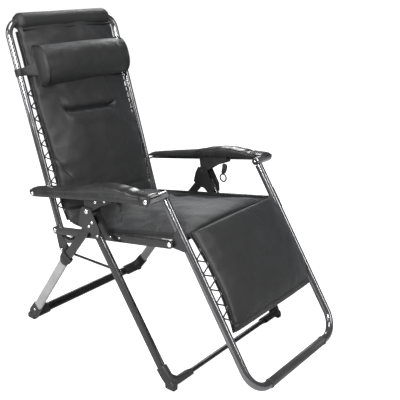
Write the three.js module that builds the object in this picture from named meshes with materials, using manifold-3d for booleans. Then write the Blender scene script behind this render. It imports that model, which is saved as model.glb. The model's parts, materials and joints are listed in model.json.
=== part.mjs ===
// Zero gravity recliner: a folding reclining camp chair with a padded sling laced into a steel
// tube frame. Millimetres, +Z up. The floor is Z = 0, +X is the sitter's left and the sitter
// faces -Y. The origin is on the floor, under the middle of the chair's bounding box.
//
// Each side is a parallelogram of four pivots seen from the side: the armrest on top, the seat
// rail below, the back tube behind and the footrest tube in front. It hangs in two clamps on an
// inverted-V base that folds about a hinge under each armrest.

import * as THREE from 'three';
import { mergeVertices } from 'three/addons/utils/BufferGeometryUtils.js';
import Module from 'manifold-3d';

const wasm = await Module();
wasm.setup();

// ---- Driving dimensions ---------------------------------------------------------------------
// Points in a side plane are [y, z].
const ARM_REAR = [372, 560];        // armrest pivot on the back frame
const ARM_RUN = [-565, 90];         // rear armrest pivot to front armrest pivot
const BACK_LEAN = 16.8;             // back tube, degrees from vertical
const FOOTREST_LEAN = 32.4;         // footrest tube, degrees from vertical
const SIDE_DROP = 154;              // armrest pivot down to seat pivot, along the back tube
const BACK_LENGTH = 768;            // seat pivot up to the top bar
const BACK_TAIL = 55;               // seat pivot down to the lower cross tube
const FOOTREST_LENGTH = 688;        // armrest pivot down to the bottom bar
const CLAMP_PIVOT = [95, 552];      // armrest clamp on the base
const LEG_HINGE = [105, 505];       // rear leg hinge on the base
const BRACE_FRONT = [-14, 346];     // brace link on the front leg
const BRACE_REAR = [290, 338];      // brace link on the back frame's tail plate
const FRONT_LEG_TOP = [80, 508];
const FRONT_LEG_FOOT = [-256, 18];
const REAR_LEG_TOP = [112, 519];
const REAR_LEG_FOOT = [484, 18];
const FLOOR_BAR_HEIGHT = 17;        // centre of both floor bars above the floor

const GAP = 0.4;                    // running clearance between neighbours
const TUBE_BACK = 12.5;             // back tube radius
const TUBE_FOOT = 14;               // footrest tube radius
const PIVOT_RADIUS = 4;
const RECLINE_OFFSET = 10;          // reclining axes, off the pivot pins that folding turns about
const RECLINE_ANGLE = 28;           // degrees

// Distances from the middle plane to the centre of each layer, and each layer's thickness.
const TUBE_X = 262;
const TAIL_PLATE_X = 277;
const RAIL_X = 285;
const LINK_X = 291.8;
const INNER_PLATE_X = 293.5;
const REAR_LEG_X = 302.5;
const CLAMP_X = 314;
const ARM_X = 316;
const FRONT_LEG_X = 321;
const OUTER_PLATE_X = 333;
const PLATE = 3;
const TAIL_PLATE = 2.4;
const KNEE_PLATE = 1.6;
const RAIL_THICK = 8;
const LINK_THICK = 4;
const LEVER_THICK = 5;
const REAR_LEG_THICK = 14;
const REAR_BAR_THICK = 10;
const ARM_RAIL_THICK = 10;
const FRONT_LEG_THICK = 16;
const CLAMP_THICK = 30;
const ARM_WIDTH = 58;
const ROLLER_REACH = 350;           // outer end of the footrest's hinge sleeve

// Widths of the flattened tubes and flat bars, seen from the side.
const FRONT_LEG_WIDTH = 30;
const REAR_LEG_WIDTH = 34;
const REAR_BAR_WIDTH = 24;
const LEG_SLEEVE_WIDTH = 38;
const RAIL_WIDTH = 28;
const LINK_WIDTH = 13;
const FLOOR_BAR_WIDTH = 30;
const FLOOR_BAR_THICK = 16;

// The padded sling.
const PAD_HALF = 230;               // half width of the pads
const PAD_TOP_MARGIN = 40;          // top bar down to the back pad's top edge
const ROLL_RADIUS = 31;             // padded roll round the top bar
const PILLOW_HALF = 195;
const PILLOW_RISE = 68;             // pillow thickness

const ROUND = 16;                   // sides of a round tube
const SMALL_ROUND = 12;             // sides of a pin

// ---- Side-plane arithmetic ------------------------------------------------------------------
const rad = (degrees) => degrees * Math.PI / 180;
const plus = (p, q) => [p[0] + q[0], p[1] + q[1]];
const times = (p, k) => [p[0] * k, p[1] * k];
const minus = (p, q) => plus(p, times(q, -1));
const dot = (p, q) => p[0] * q[0] + p[1] * q[1];
const unit = (p) => times(p, 1 / Math.hypot(p[0], p[1]));
const along = (start, direction, run, normal = [0, 0], rise = 0) =>
  plus(plus(start, times(direction, run)), times(normal, rise));

const BACK_UP = [Math.sin(rad(BACK_LEAN)), Math.cos(rad(BACK_LEAN))];
const BACK_FRONT = [-BACK_UP[1], BACK_UP[0]];
const FOOTREST_DOWN = [-Math.sin(rad(FOOTREST_LEAN)), -Math.cos(rad(FOOTREST_LEAN))];
const FOOTREST_FRONT = [FOOTREST_DOWN[1], -FOOTREST_DOWN[0]];
const ARM_FORWARD = unit(ARM_RUN);
const ARM_UP = [ARM_FORWARD[1], -ARM_FORWARD[0]];
const ARM_LENGTH = Math.hypot(...ARM_RUN);

const ARM_FRONT = plus(ARM_REAR, ARM_RUN);
const SEAT_PIVOT = along(ARM_REAR, BACK_UP, -SIDE_DROP);
const KNEE_PIVOT = plus(SEAT_PIVOT, ARM_RUN);

const onBack = (run, rise = 0) => along(SEAT_PIVOT, BACK_UP, run, BACK_FRONT, rise);
const onFootrest = (run, rise = 0) => along(ARM_FRONT, FOOTREST_DOWN, run, FOOTREST_FRONT, rise);
const onArm = (run, rise = 0) => along(ARM_REAR, ARM_FORWARD, run, ARM_UP, rise);
const onSeat = (run, rise = 0) => along(SEAT_PIVOT, ARM_FORWARD, run, ARM_UP, rise);
const inSpace = (x, p) => new THREE.Vector3(x, p[0], p[1]);

// ---- Solids ---------------------------------------------------------------------------------
function welded(geometry) {
  const bare = geometry.clone();
  bare.deleteAttribute('normal');
  bare.deleteAttribute('uv');
  return mergeVertices(bare, 1e-4);
}

function toSolid(geometry) {
  const bare = welded(geometry);
  return new wasm.Manifold(new wasm.Mesh({
    numProp: 3,
    vertProperties: new Float32Array(bare.attributes.position.array),
    triVerts: new Uint32Array(bare.index.array),
  }));
}

function toGeometry(solid) {
  const mesh = solid.getMesh();
  const geometry = new THREE.BufferGeometry();
  geometry.setAttribute('position', new THREE.BufferAttribute(mesh.vertProperties, 3));
  geometry.setIndex(new THREE.BufferAttribute(mesh.triVerts, 1));
  return geometry;
}

function cutFrom(geometry, tools) {
  let solid = toSolid(geometry);
  for (const tool of tools) solid = solid.subtract(toSolid(tool));
  return toGeometry(solid);
}

function joined(geometries) {
  let solid = toSolid(geometries[0]);
  for (const other of geometries.slice(1)) solid = solid.add(toSolid(other));
  return toGeometry(solid);
}

function roundSection(radius, sides = ROUND) {
  const points = [];
  for (let i = 0; i < sides; i += 1) {
    const angle = 2 * Math.PI * i / sides;
    points.push(new THREE.Vector2(radius * Math.cos(angle), radius * Math.sin(angle)));
  }
  return new THREE.Shape(points);
}

// A flattened oval: width along the section's x, thickness along its y.
function ovalSection(width, thickness) {
  const half = width / 2 - thickness / 2;
  const shape = new THREE.Shape();
  shape.absarc(half, 0, thickness / 2, -Math.PI / 2, Math.PI / 2);
  shape.absarc(-half, 0, thickness / 2, Math.PI / 2, 1.5 * Math.PI);
  return shape;
}

// Outline of side-plane points, extruded across the chair between x = centre -/+ thickness / 2.
function sidePlate(points, centre, thickness) {
  const shape = new THREE.Shape(points.map(([y, z]) => new THREE.Vector2(y, z)));
  const geometry = new THREE.ExtrudeGeometry(shape, {
    depth: thickness, bevelEnabled: false, curveSegments: 8,
  });
  geometry.translate(0, 0, centre - thickness / 2);
  const axes = new THREE.Matrix4().makeBasis(
    new THREE.Vector3(0, 1, 0), new THREE.Vector3(0, 0, 1), new THREE.Vector3(1, 0, 0));
  return geometry.applyMatrix4(axes);
}

// A straight bar in a side plane; the section's x lies in the plane and its y across the chair.
function sideBar(from, to, section, x) {
  const direction = unit(minus(to, from));
  const length = Math.hypot(...minus(to, from));
  const geometry = new THREE.ExtrudeGeometry(section, {
    depth: length, bevelEnabled: false, curveSegments: 5,
  });
  const axes = new THREE.Matrix4().makeBasis(
    new THREE.Vector3(0, -direction[1], direction[0]),
    new THREE.Vector3(1, 0, 0),
    new THREE.Vector3(0, direction[0], direction[1]));
  geometry.applyMatrix4(axes);
  return geometry.translate(x, from[0], from[1]);
}

// A straight bar across the chair.
function crossBar(fromX, toX, centre, section) {
  const geometry = new THREE.ExtrudeGeometry(section, {
    depth: toX - fromX, bevelEnabled: false, curveSegments: 5,
  });
  const axes = new THREE.Matrix4().makeBasis(
    new THREE.Vector3(0, 1, 0), new THREE.Vector3(0, 0, 1), new THREE.Vector3(1, 0, 0));
  geometry.applyMatrix4(axes);
  return geometry.translate(fromX, centre[0], centre[1]);
}

function pin(fromX, toX, centre, radius = PIVOT_RADIUS, sides = SMALL_ROUND) {
  return crossBar(Math.min(fromX, toX), Math.max(fromX, toX), centre, roundSection(radius, sides));
}

// The tool that opens a running hole for a pivot pin, right across the chair.
function pivotHole(centre, radius = PIVOT_RADIUS + GAP, sides = SMALL_ROUND) {
  return pin(-ROLLER_REACH - GAP, ROLLER_REACH + GAP, centre, radius, sides);
}

// A hole wide enough for the pin's drift while its plate turns about the offset reclining axis.
const PIN_DRIFT = 2 * RECLINE_OFFSET * Math.sin(rad(RECLINE_ANGLE / 2));
const wideHole = (centre) => pivotHole(centre, PIVOT_RADIUS + PIN_DRIFT + GAP, 20);

// A pin with a low domed head at its outer end, turned on a lathe and laid across the chair.
function rivet(innerX, outerX, centre, headRadius = 8, headHeight = 3.5) {
  const side = Math.sign(outerX);
  const shank = Math.abs(outerX - innerX) - headHeight;
  const profile = [
    new THREE.Vector2(0, 0),
    new THREE.Vector2(PIVOT_RADIUS, 0),
    new THREE.Vector2(PIVOT_RADIUS, shank),
    new THREE.Vector2(headRadius, shank),
    new THREE.Vector2(headRadius * 0.8, shank + headHeight * 0.6),
    new THREE.Vector2(0, shank + headHeight),
  ];
  const geometry = new THREE.LatheGeometry(profile, SMALL_ROUND);
  geometry.rotateZ(side > 0 ? -Math.PI / 2 : Math.PI / 2);
  return geometry.translate(innerX, centre[0], centre[1]);
}

// A route through given stations, swept without any resampling between them.
class Route extends THREE.Curve {
  constructor(stations) {
    super();
    this.stations = stations;
  }

  getPointAt(t) {
    const place = t * (this.stations.length - 1);
    const index = Math.min(Math.floor(place + 1e-6), this.stations.length - 2);
    const share = Math.max(0, place - index);
    return this.stations[index].clone().lerp(this.stations[index + 1], share);
  }

  getPoint(t) {
    return this.getPointAt(t);
  }

  getTangentAt(t) {
    const place = Math.round(t * (this.stations.length - 1));
    const before = this.stations[Math.max(place - 1, 0)];
    const after = this.stations[Math.min(place + 1, this.stations.length - 1)];
    return after.clone().sub(before).normalize();
  }
}

function tubeThrough(stations, section) {
  return new THREE.ExtrudeGeometry(section, {
    steps: stations.length - 1, extrudePath: new Route(stations), curveSegments: 5,
  });
}

// A U of tube: two legs joined by quarter bends and a bar across the chair. place(run) gives the
// side-plane point at a distance along the legs.
function bow(place, legStart, barRun, bendRadius, section, steps = 7) {
  const sign = Math.sign(barRun - legStart);
  const stations = [inSpace(-TUBE_X, place(legStart))];
  for (let i = 0; i <= steps; i += 1) {
    const angle = (Math.PI / 2) * i / steps;
    const x = -TUBE_X + bendRadius * (1 - Math.cos(angle));
    const run = barRun - sign * bendRadius * (1 - Math.sin(angle));
    stations.push(inSpace(x, place(run)));
  }
  const mirrored = stations.map((p) => new THREE.Vector3(-p.x, p.y, p.z)).reverse();
  return tubeThrough([...stations, ...mirrored], section);
}

// A flat pad with round corners: x by run outline, from rise low to rise high.
function pad(place, runFrom, runTo, halfWidth, low, high, corner) {
  const shape = new THREE.Shape();
  const middle = (runFrom + runTo) / 2;
  const half = Math.abs(runTo - runFrom) / 2;
  const quarter = Math.PI / 2;
  const cornerX = halfWidth - corner;
  const cornerY = half - corner;
  shape.absarc(cornerX, cornerY, corner, 0, quarter);
  shape.absarc(-cornerX, cornerY, corner, quarter, 2 * quarter);
  shape.absarc(-cornerX, -cornerY, corner, 2 * quarter, 3 * quarter);
  shape.absarc(cornerX, -cornerY, corner, 3 * quarter, 4 * quarter);
  const geometry = new THREE.ExtrudeGeometry(shape, {
    depth: high - low, bevelEnabled: false, curveSegments: 4,
  });
  geometry.translate(0, 0, low);
  const origin = place(middle);
  const runAxis = unit(minus(place(middle + 1), origin));
  const riseAxis = unit(minus(place(middle, 1), origin));
  const xAxis = new THREE.Vector3(1, 0, 0);
  const yAxis = inSpace(0, runAxis);
  const zAxis = inSpace(0, riseAxis);
  if (xAxis.clone().cross(yAxis).dot(zAxis) < 0) xAxis.negate();
  geometry.applyMatrix4(new THREE.Matrix4().makeBasis(xAxis, yAxis, zAxis));
  return geometry.translate(0, origin[0], origin[1]);
}

// A bungee cord laced round a side tube: it leaves an eyelet in the pad's edge, passes over the
// tube, round its outside and back under it to the next eyelet.
function lacing(side, place, runFrom, runTo, turns, tubeRadius, cordRadius) {
  const eyeletX = PAD_HALF + 7;
  const wrapSteps = 7;
  const touching = tubeRadius + cordRadius + GAP;
  const tangent = Math.PI - Math.acos(touching / (TUBE_X - eyeletX));
  const wrap = touching / Math.cos(tangent / wrapSteps);
  const pitch = (runTo - runFrom) / turns;
  const stations = [];
  for (let turn = 0; turn < turns; turn += 1) {
    const start = runFrom + pitch * turn;
    stations.push([eyeletX, start, 0]);
    for (let i = 0; i <= wrapSteps; i += 1) {
      const share = i / wrapSteps;
      const angle = tangent * (1 - 2 * share);
      const x = TUBE_X + wrap * Math.cos(angle);
      stations.push([x, start + pitch * (0.2 + 0.6 * share), wrap * Math.sin(angle)]);
    }
  }
  stations.push([eyeletX, runTo, 0]);
  const points = stations.map(([x, run, rise]) => inSpace(side * x, place(run, rise)));
  return tubeThrough(points, roundSection(cordRadius, 5));
}

// ---- Materials ------------------------------------------------------------------------------
const finish = (color, roughness, metalness) =>
  new THREE.MeshStandardMaterial({ color, roughness, metalness });
const FINISHES = {
  tube: () => finish(0x6b6d70, 0.32, 0.8),
  leg: () => finish(0x4a4c4f, 0.4, 0.6),
  plate: () => finish(0x202124, 0.45, 0.4),
  chrome: () => finish(0xd8dadc, 0.15, 1),
  plastic: () => finish(0x1c1d1f, 0.5, 0),
  foot: () => finish(0x3d3f42, 0.55, 0),
  fabric: () => finish(0x2b2c2e, 0.85, 0),
  cord: () => finish(0x151515, 0.8, 0),
};

const chair = new THREE.Group();
chair.name = 'zero_gravity_recliner';

function addPart(name, geometry, look) {
  const mesh = new THREE.Mesh(geometry, FINISHES[look]());
  mesh.name = name;
  chair.add(mesh);
  return mesh;
}

const SIDES = [['right', -1], ['left', 1]];

// ---- Feet: each takes the end of a leg and the end of a floor bar ---------------------------------
const FOOT_WALL = 4;
const FOOT_SLEEVE = 62;             // leg foot up to the sleeve's mouth
const FOOT_INSERT = 4;              // leg foot to the cut end of the leg
const FLOOR_BAR_END = 262;          // middle plane to either end of a floor bar
const FOOT_SOCKET = 30;             // how far a foot reaches over the floor bar
const SOLE_OUTLINE = [[-20, 0], [20, 0], [22, 8], [17, 26], [-17, 26], [-22, 8]];
const FLOOR_BAR_SECTION = ovalSection(FLOOR_BAR_WIDTH, FLOOR_BAR_THICK);

function footBlock(side, legTop, legFoot, legWidth, legThick, legX, barY) {
  const upward = unit(minus(legTop, legFoot));
  const sleeveMouth = along(legFoot, upward, FOOT_SLEEVE);
  const sleeve = sideBar(along(legFoot, upward, -FOOT_WALL), sleeveMouth,
    ovalSection(legWidth + 2 * FOOT_WALL, legThick + 2 * FOOT_WALL), side * legX);
  const sole = sidePlate(SOLE_OUTLINE.map(([y, z]) => [legFoot[0] + y, z]), side * legX,
    legThick + 2 * FOOT_WALL);
  const ends = [side * (FLOOR_BAR_END - FOOT_SOCKET), side * legX].sort((p, q) => p - q);
  const socket = crossBar(...ends, [barY, FLOOR_BAR_HEIGHT],
    ovalSection(FLOOR_BAR_WIDTH + 2 * FOOT_WALL, 2 * FLOOR_BAR_HEIGHT));
  const floorCut = new THREE.BoxGeometry(2 * legX, 2 * legX, FOOT_SLEEVE);
  floorCut.translate(side * legX, barY, -FOOT_SLEEVE / 2);
  const legTool = sideBar(along(legFoot, upward, FOOT_INSERT - GAP), legTop,
    ovalSection(legWidth + 2 * GAP, legThick + 2 * GAP), side * legX);
  const barTool = crossBar(-FLOOR_BAR_END - GAP, FLOOR_BAR_END + GAP, [barY, FLOOR_BAR_HEIGHT],
    ovalSection(FLOOR_BAR_WIDTH + 2 * GAP, FLOOR_BAR_THICK + 2 * GAP));
  return cutFrom(joined([sleeve, sole, socket]), [floorCut, legTool, barTool]);
}

// ---- Base: front legs, front floor bar and the plates that carry the armrests ---------------------
const FRONT_BAR_Y = FRONT_LEG_FOOT[0] - 10;
const BRACKET_OUTLINE = [
  [75, 565], [115, 565], [128, 540], [138, 500], [120, 486], [84, 480], [58, 460], [34, 468],
  [36, 500], [60, 540],
];

for (const [name, side] of SIDES) {
  const upward = unit(minus(FRONT_LEG_TOP, FRONT_LEG_FOOT));
  const leg = sideBar(along(FRONT_LEG_FOOT, upward, FOOT_INSERT), FRONT_LEG_TOP,
    ovalSection(FRONT_LEG_WIDTH, FRONT_LEG_THICK), side * FRONT_LEG_X);
  addPart(`front_leg_${name}`, cutFrom(leg, [pivotHole(BRACE_FRONT)]), 'leg');
  addPart(`front_foot_${name}`, footBlock(side, FRONT_LEG_TOP, FRONT_LEG_FOOT,
    FRONT_LEG_WIDTH, FRONT_LEG_THICK, FRONT_LEG_X, FRONT_BAR_Y), 'foot');

  const inner = sidePlate(BRACKET_OUTLINE, side * INNER_PLATE_X, PLATE);
  const outer = sidePlate(BRACKET_OUTLINE, side * OUTER_PLATE_X, PLATE);
  const hinge = pin(side * INNER_PLATE_X, side * (REAR_LEG_X + REAR_LEG_THICK / 2), LEG_HINGE);
  const clampHole = pivotHole(CLAMP_PIVOT);
  addPart(`bracket_inner_${name}`, cutFrom(joined([inner, hinge]), [clampHole]), 'plate');
  addPart(`bracket_outer_${name}`, cutFrom(outer, [clampHole]), 'plate');
}
addPart('front_floor_bar', crossBar(-FLOOR_BAR_END, FLOOR_BAR_END,
  [FRONT_BAR_Y, FLOOR_BAR_HEIGHT], FLOOR_BAR_SECTION), 'leg');

// ---- Rear legs: a flat upper bar and an oval lower tube, joined by a moulded sleeve ---------------
const REAR_BAR_Y = REAR_LEG_FOOT[0] + 6;
const SLEEVE_FROM = 226;            // leg top down to the sleeve
const SLEEVE_TO = 268;
const SLEEVE_INSERT = 12;           // the upper bar stops this far short of the sleeve's end
const REAR_DOWN = unit(minus(REAR_LEG_FOOT, REAR_LEG_TOP));
const onRearLeg = (run) => along(REAR_LEG_TOP, REAR_DOWN, run);

for (const [name, side] of SIDES) {
  const x = side * REAR_LEG_X;
  const barEnd = onRearLeg(SLEEVE_TO - SLEEVE_INSERT);
  const bar = sideBar(REAR_LEG_TOP, barEnd, ovalSection(REAR_BAR_WIDTH, REAR_BAR_THICK), x);
  addPart(`rear_leg_bar_${name}`, cutFrom(bar, [pivotHole(LEG_HINGE)]), 'leg');

  const sleeve = sideBar(onRearLeg(SLEEVE_FROM), onRearLeg(SLEEVE_TO),
    ovalSection(LEG_SLEEVE_WIDTH, REAR_LEG_THICK + 2), x);
  const barTool = sideBar(REAR_LEG_TOP, along(barEnd, REAR_DOWN, GAP),
    ovalSection(REAR_BAR_WIDTH + 2 * GAP, REAR_BAR_THICK + 2 * GAP), x);
  addPart(`leg_sleeve_${name}`, cutFrom(sleeve, [barTool]), 'plastic');

  addPart(`rear_leg_tube_${name}`, sideBar(onRearLeg(SLEEVE_TO + GAP),
    along(REAR_LEG_FOOT, REAR_DOWN, -FOOT_INSERT),
    ovalSection(REAR_LEG_WIDTH, REAR_LEG_THICK), x), 'tube');
  addPart(`rear_foot_${name}`, footBlock(side, REAR_LEG_TOP, REAR_LEG_FOOT,
    REAR_LEG_WIDTH, REAR_LEG_THICK, REAR_LEG_X, REAR_BAR_Y), 'foot');
}
addPart('rear_floor_bar', crossBar(-FLOOR_BAR_END, FLOOR_BAR_END,
  [REAR_BAR_Y, FLOOR_BAR_HEIGHT], FLOOR_BAR_SECTION), 'leg');

// ---- Brace links ------------------------------------------------------------------------------
// Each link is pinned to the front leg. Its rear eye stands beside the back frame's tail plate.
const LINK_EYE_RADIUS = 10;
const LINK_INNER = LINK_X - LINK_THICK / 2;
const LINK_OUTER = LINK_X + LINK_THICK / 2;
const LINK_PIN_END = FRONT_LEG_X + FRONT_LEG_THICK / 2 + 5;

for (const [name, side] of SIDES) {
  const bar = sideBar(BRACE_FRONT, BRACE_REAR, ovalSection(LINK_WIDTH, LINK_THICK), side * LINK_X);
  const pivot = rivet(side * LINK_X, side * LINK_PIN_END, BRACE_FRONT);
  const eyes = [BRACE_FRONT, BRACE_REAR].map((eye) =>
    pin(side * LINK_INNER, side * LINK_OUTER, eye, LINK_EYE_RADIUS, ROUND));
  addPart(`brace_link_${name}`, joined([bar, pivot, ...eyes]), 'tube');
}

// ---- Armrest clamps, their pivots and their levers ------------------------------------------------
const CLAMP_RUN = dot(minus(CLAMP_PIVOT, ARM_REAR), ARM_FORWARD);
const CLAMP_RISE = dot(minus(CLAMP_PIVOT, ARM_REAR), ARM_UP);
const CLAMP_BACK = 12;              // clamp pivot to the clamp's rear edge
const CLAMP_FRONT = 128;            // clamp pivot to the clamp's front edge
const ARM_RAIL_LOW = -7;
const ARM_RAIL_HIGH = 7;
const CLAMP_CHEEK = 11;
const CLAMP_PIN_INNER = INNER_PLATE_X - PLATE / 2 - 1;
const CLAMP_PIN_OUTER = OUTER_PLATE_X + PLATE / 2 + 4;

for (const [name, side] of SIDES) {
  addPart(`clamp_pin_${name}`,
    rivet(side * CLAMP_PIN_INNER, side * CLAMP_PIN_OUTER, CLAMP_PIVOT, 9, 3.6), 'chrome');
  const block = sidePlate([
    onArm(CLAMP_RUN - CLAMP_BACK, ARM_RAIL_HIGH),
    onArm(CLAMP_RUN - CLAMP_BACK, CLAMP_RISE + 4),
    onArm(CLAMP_RUN - CLAMP_CHEEK / 2, CLAMP_RISE - CLAMP_CHEEK),
    onArm(CLAMP_RUN + CLAMP_CHEEK, CLAMP_RISE - CLAMP_CHEEK),
    onArm(CLAMP_RUN + CLAMP_FRONT / 2, CLAMP_RISE * 0.66),
    onArm(CLAMP_RUN + CLAMP_FRONT, CLAMP_RISE * 0.34),
    onArm(CLAMP_RUN + CLAMP_FRONT, ARM_RAIL_HIGH),
  ], side * CLAMP_X, CLAMP_THICK);
  const channel = sidePlate([
    onArm(0, ARM_RAIL_HIGH + GAP), onArm(0, ARM_RAIL_LOW - GAP),
    onArm(ARM_LENGTH, ARM_RAIL_LOW - GAP), onArm(ARM_LENGTH, ARM_RAIL_HIGH + GAP),
  ], side * ARM_X, ARM_RAIL_THICK + 2 * GAP);
  addPart(`arm_clamp_${name}`, cutFrom(block, [channel, pivotHole(CLAMP_PIVOT)]), 'plastic');
}

const LEVER_PIVOT = [-22, 588];
const LEVER_RING = [-14, 543];
const LEVER_INNER = 290;
const RING_HOLE = 12;
const RING_OUTER = 18;

for (const [name, side] of SIDES) {
  const x = side * (LEVER_INNER + LEVER_THICK / 2);
  const half = LEVER_THICK / 2;
  const blade = sidePlate([
    plus(LEVER_PIVOT, [-9, 12]), plus(LEVER_PIVOT, [-10, -6]), plus(LEVER_RING, [-6, 15]),
    plus(LEVER_RING, [8, 15]), plus(LEVER_PIVOT, [12, -6]), plus(LEVER_PIVOT, [11, 12]),
  ], x, LEVER_THICK);
  const ring = new THREE.LatheGeometry([
    new THREE.Vector2(RING_HOLE, -half), new THREE.Vector2(RING_OUTER, -half),
    new THREE.Vector2(RING_OUTER, half), new THREE.Vector2(RING_HOLE, half),
    new THREE.Vector2(RING_HOLE, -half),
  ], 20);
  ring.rotateZ(-Math.PI / 2);
  ring.translate(x, LEVER_RING[0], LEVER_RING[1]);
  const stub = pin(x, side * (CLAMP_X - CLAMP_THICK / 2 - GAP), LEVER_PIVOT);
  addPart(`lock_lever_${name}`, joined([blade, ring, stub]), 'plastic');
}

// ---- Armrests ---------------------------------------------------------------------------------
// The moulded top rises to a hump under the hand, then drops to a ribbed nose over the hinge.
const ARM_UNDERSIDE = 8.4;
const ARM_TAIL = -18;               // rear end of the moulding, from the rear pivot
const ARM_SHOULDER = 512;           // end of the hump
const NOSE_INSET = 6;
const ARM_TOP = [
  [ARM_TAIL, 12], [-8, 17], [60, 21], [140, 25], [225, 28], [270, 33], [322, 40], [380, 43],
  [430, 40], [480, 32], [ARM_SHOULDER, 22],
];

for (const [name, side] of SIDES) {
  const railEnd = ARM_LENGTH - 34;
  const rail = sidePlate([
    onArm(-12, ARM_RAIL_HIGH), onArm(-12, ARM_RAIL_LOW),
    onArm(railEnd, ARM_RAIL_LOW), onArm(railEnd, ARM_RAIL_HIGH),
  ], side * ARM_X, ARM_RAIL_THICK);
  addPart(`arm_rail_${name}`, cutFrom(rail, [pivotHole(ARM_REAR)]), 'plate');

  const top = sidePlate([...ARM_TOP.map(([run, rise]) => onArm(run, rise)),
    onArm(ARM_SHOULDER, ARM_UNDERSIDE), onArm(ARM_TAIL, ARM_UNDERSIDE)], side * ARM_X, ARM_WIDTH);
  const nose = sidePlate([
    onArm(ARM_SHOULDER - 7, ARM_UNDERSIDE), onArm(ARM_SHOULDER - 7, 21),
    onArm(ARM_LENGTH - 8, 19), onArm(ARM_LENGTH + 6, 17), onArm(ARM_LENGTH + 6, 8),
    onArm(ARM_LENGTH - 32, 6), onArm(ARM_LENGTH - 32, ARM_UNDERSIDE),
  ], side * ARM_X, ARM_WIDTH - NOSE_INSET);
  const hingeTool = pivotHole(ARM_FRONT, TUBE_FOOT + 1, 24);
  addPart(`armrest_${name}`, cutFrom(joined([top, nose]), [hingeTool]), 'plastic');
}

// ---- Back frame ---------------------------------------------------------------------------------
const BACK_BEND = 52;
const TAIL_BEND = 34;
const TAIL_START = -16;             // seat pivot down to the lower cross tube's joint
const BACK_STRAIGHT = BACK_LENGTH - BACK_BEND - 40;
const PIN_INNER = TUBE_X - TUBE_BACK - 1;
const FLAT_HEAD = 0.8;

for (const [name, side] of SIDES) {
  addPart(`back_pivot_pin_${name}`,
    rivet(side * PIN_INNER, side * (ARM_X + ARM_RAIL_THICK / 2 + 4), ARM_REAR), 'chrome');
  addPart(`seat_pivot_pin_${name}`,
    rivet(side * PIN_INNER, side * (RAIL_X + RAIL_THICK / 2 + FLAT_HEAD - 0.2), SEAT_PIVOT,
      7, FLAT_HEAD - 0.4), 'chrome');
  const tube = sideBar(onBack(TAIL_START), onBack(BACK_STRAIGHT), roundSection(TUBE_BACK),
    side * TUBE_X);
  const pivotHoles = [wideHole(ARM_REAR), pivotHole(SEAT_PIVOT)];
  addPart(`back_tube_${name}`, cutFrom(tube, pivotHoles), 'tube');

  const tail = sidePlate([
    onBack(-12, -11), onBack(-12, 11), plus(BRACE_REAR, [-32, 12]), plus(BRACE_REAR, [-30, -2]),
    plus(BRACE_REAR, [0, -12]), plus(BRACE_REAR, [20, -10]), plus(BRACE_REAR, [34, 4]),
  ], side * TAIL_PLATE_X, TAIL_PLATE);
  const stud = pin(side * TAIL_PLATE_X, side * (LINK_INNER - GAP), BRACE_REAR, 6);
  addPart(`tail_plate_${name}`, joined([tail, stud]), 'plate');
}
addPart('back_top_bow', bow((run) => onBack(run), BACK_STRAIGHT + GAP, BACK_LENGTH, BACK_BEND,
  roundSection(TUBE_BACK)), 'tube');
addPart('back_lower_bow', bow((run) => onBack(run), TAIL_START - GAP, -BACK_TAIL, TAIL_BEND,
  roundSection(TUBE_BACK)), 'tube');

// ---- Seat rails ----------------------------------------------------------------------------------
const RAIL_OVERHANG = 14;
for (const [name, side] of SIDES) {
  const rail = sideBar(along(SEAT_PIVOT, ARM_FORWARD, -RAIL_OVERHANG),
    along(KNEE_PIVOT, ARM_FORWARD, RAIL_OVERHANG), ovalSection(RAIL_WIDTH, RAIL_THICK),
    side * RAIL_X);
  const pivotHoles = [wideHole(SEAT_PIVOT), pivotHole(KNEE_PIVOT)];
  addPart(`seat_rail_${name}`, cutFrom(rail, pivotHoles), 'tube');
}

// ---- Footrest frame ------------------------------------------------------------------------------
const FOOT_BEND = 80;
const FOOT_STRAIGHT = FOOTREST_LENGTH - FOOT_BEND - 20;
const FOOT_TOP = TUBE_FOOT + 2;     // hinge sleeve's middle down to the tube's upper end
const HINGE_INNER = TUBE_X - 12;

for (const [name, side] of SIDES) {
  addPart(`knee_pin_${name}`, rivet(side * (RAIL_X - RAIL_THICK / 2 - 3.4),
    side * (RAIL_X + RAIL_THICK / 2 + FLAT_HEAD - 0.2), KNEE_PIVOT, 8, FLAT_HEAD - 0.4), 'chrome');
  addPart(`footrest_tube_${name}`, sideBar(onFootrest(FOOT_TOP), onFootrest(FOOT_STRAIGHT),
    roundSection(TUBE_FOOT), side * TUBE_X), 'tube');
  const kneeRun = dot(minus(KNEE_PIVOT, ARM_FRONT), FOOTREST_DOWN);
  const gusset = sidePlate([
    onFootrest(kneeRun - 34, 8), onFootrest(kneeRun - 24, -10), plus(KNEE_PIVOT, [-4, 13]),
    plus(KNEE_PIVOT, [11, 8]), plus(KNEE_PIVOT, [11, -8]), plus(KNEE_PIVOT, [-4, -13]),
    onFootrest(kneeRun + 40, -8), onFootrest(kneeRun + 46, 8),
  ], side * TAIL_PLATE_X, KNEE_PLATE);
  addPart(`knee_plate_${name}`, cutFrom(gusset, [wideHole(KNEE_PIVOT)]), 'plate');
  const ends = [side * HINGE_INNER, side * ROLLER_REACH].sort((p, q) => p - q);
  addPart(`footrest_hinge_${name}`,
    crossBar(...ends, ARM_FRONT, roundSection(TUBE_FOOT, 20)), 'tube');
}
addPart('footrest_bow', bow((run) => onFootrest(run), FOOT_STRAIGHT + GAP, FOOTREST_LENGTH,
  FOOT_BEND, roundSection(TUBE_FOOT), 9), 'tube');

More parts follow.
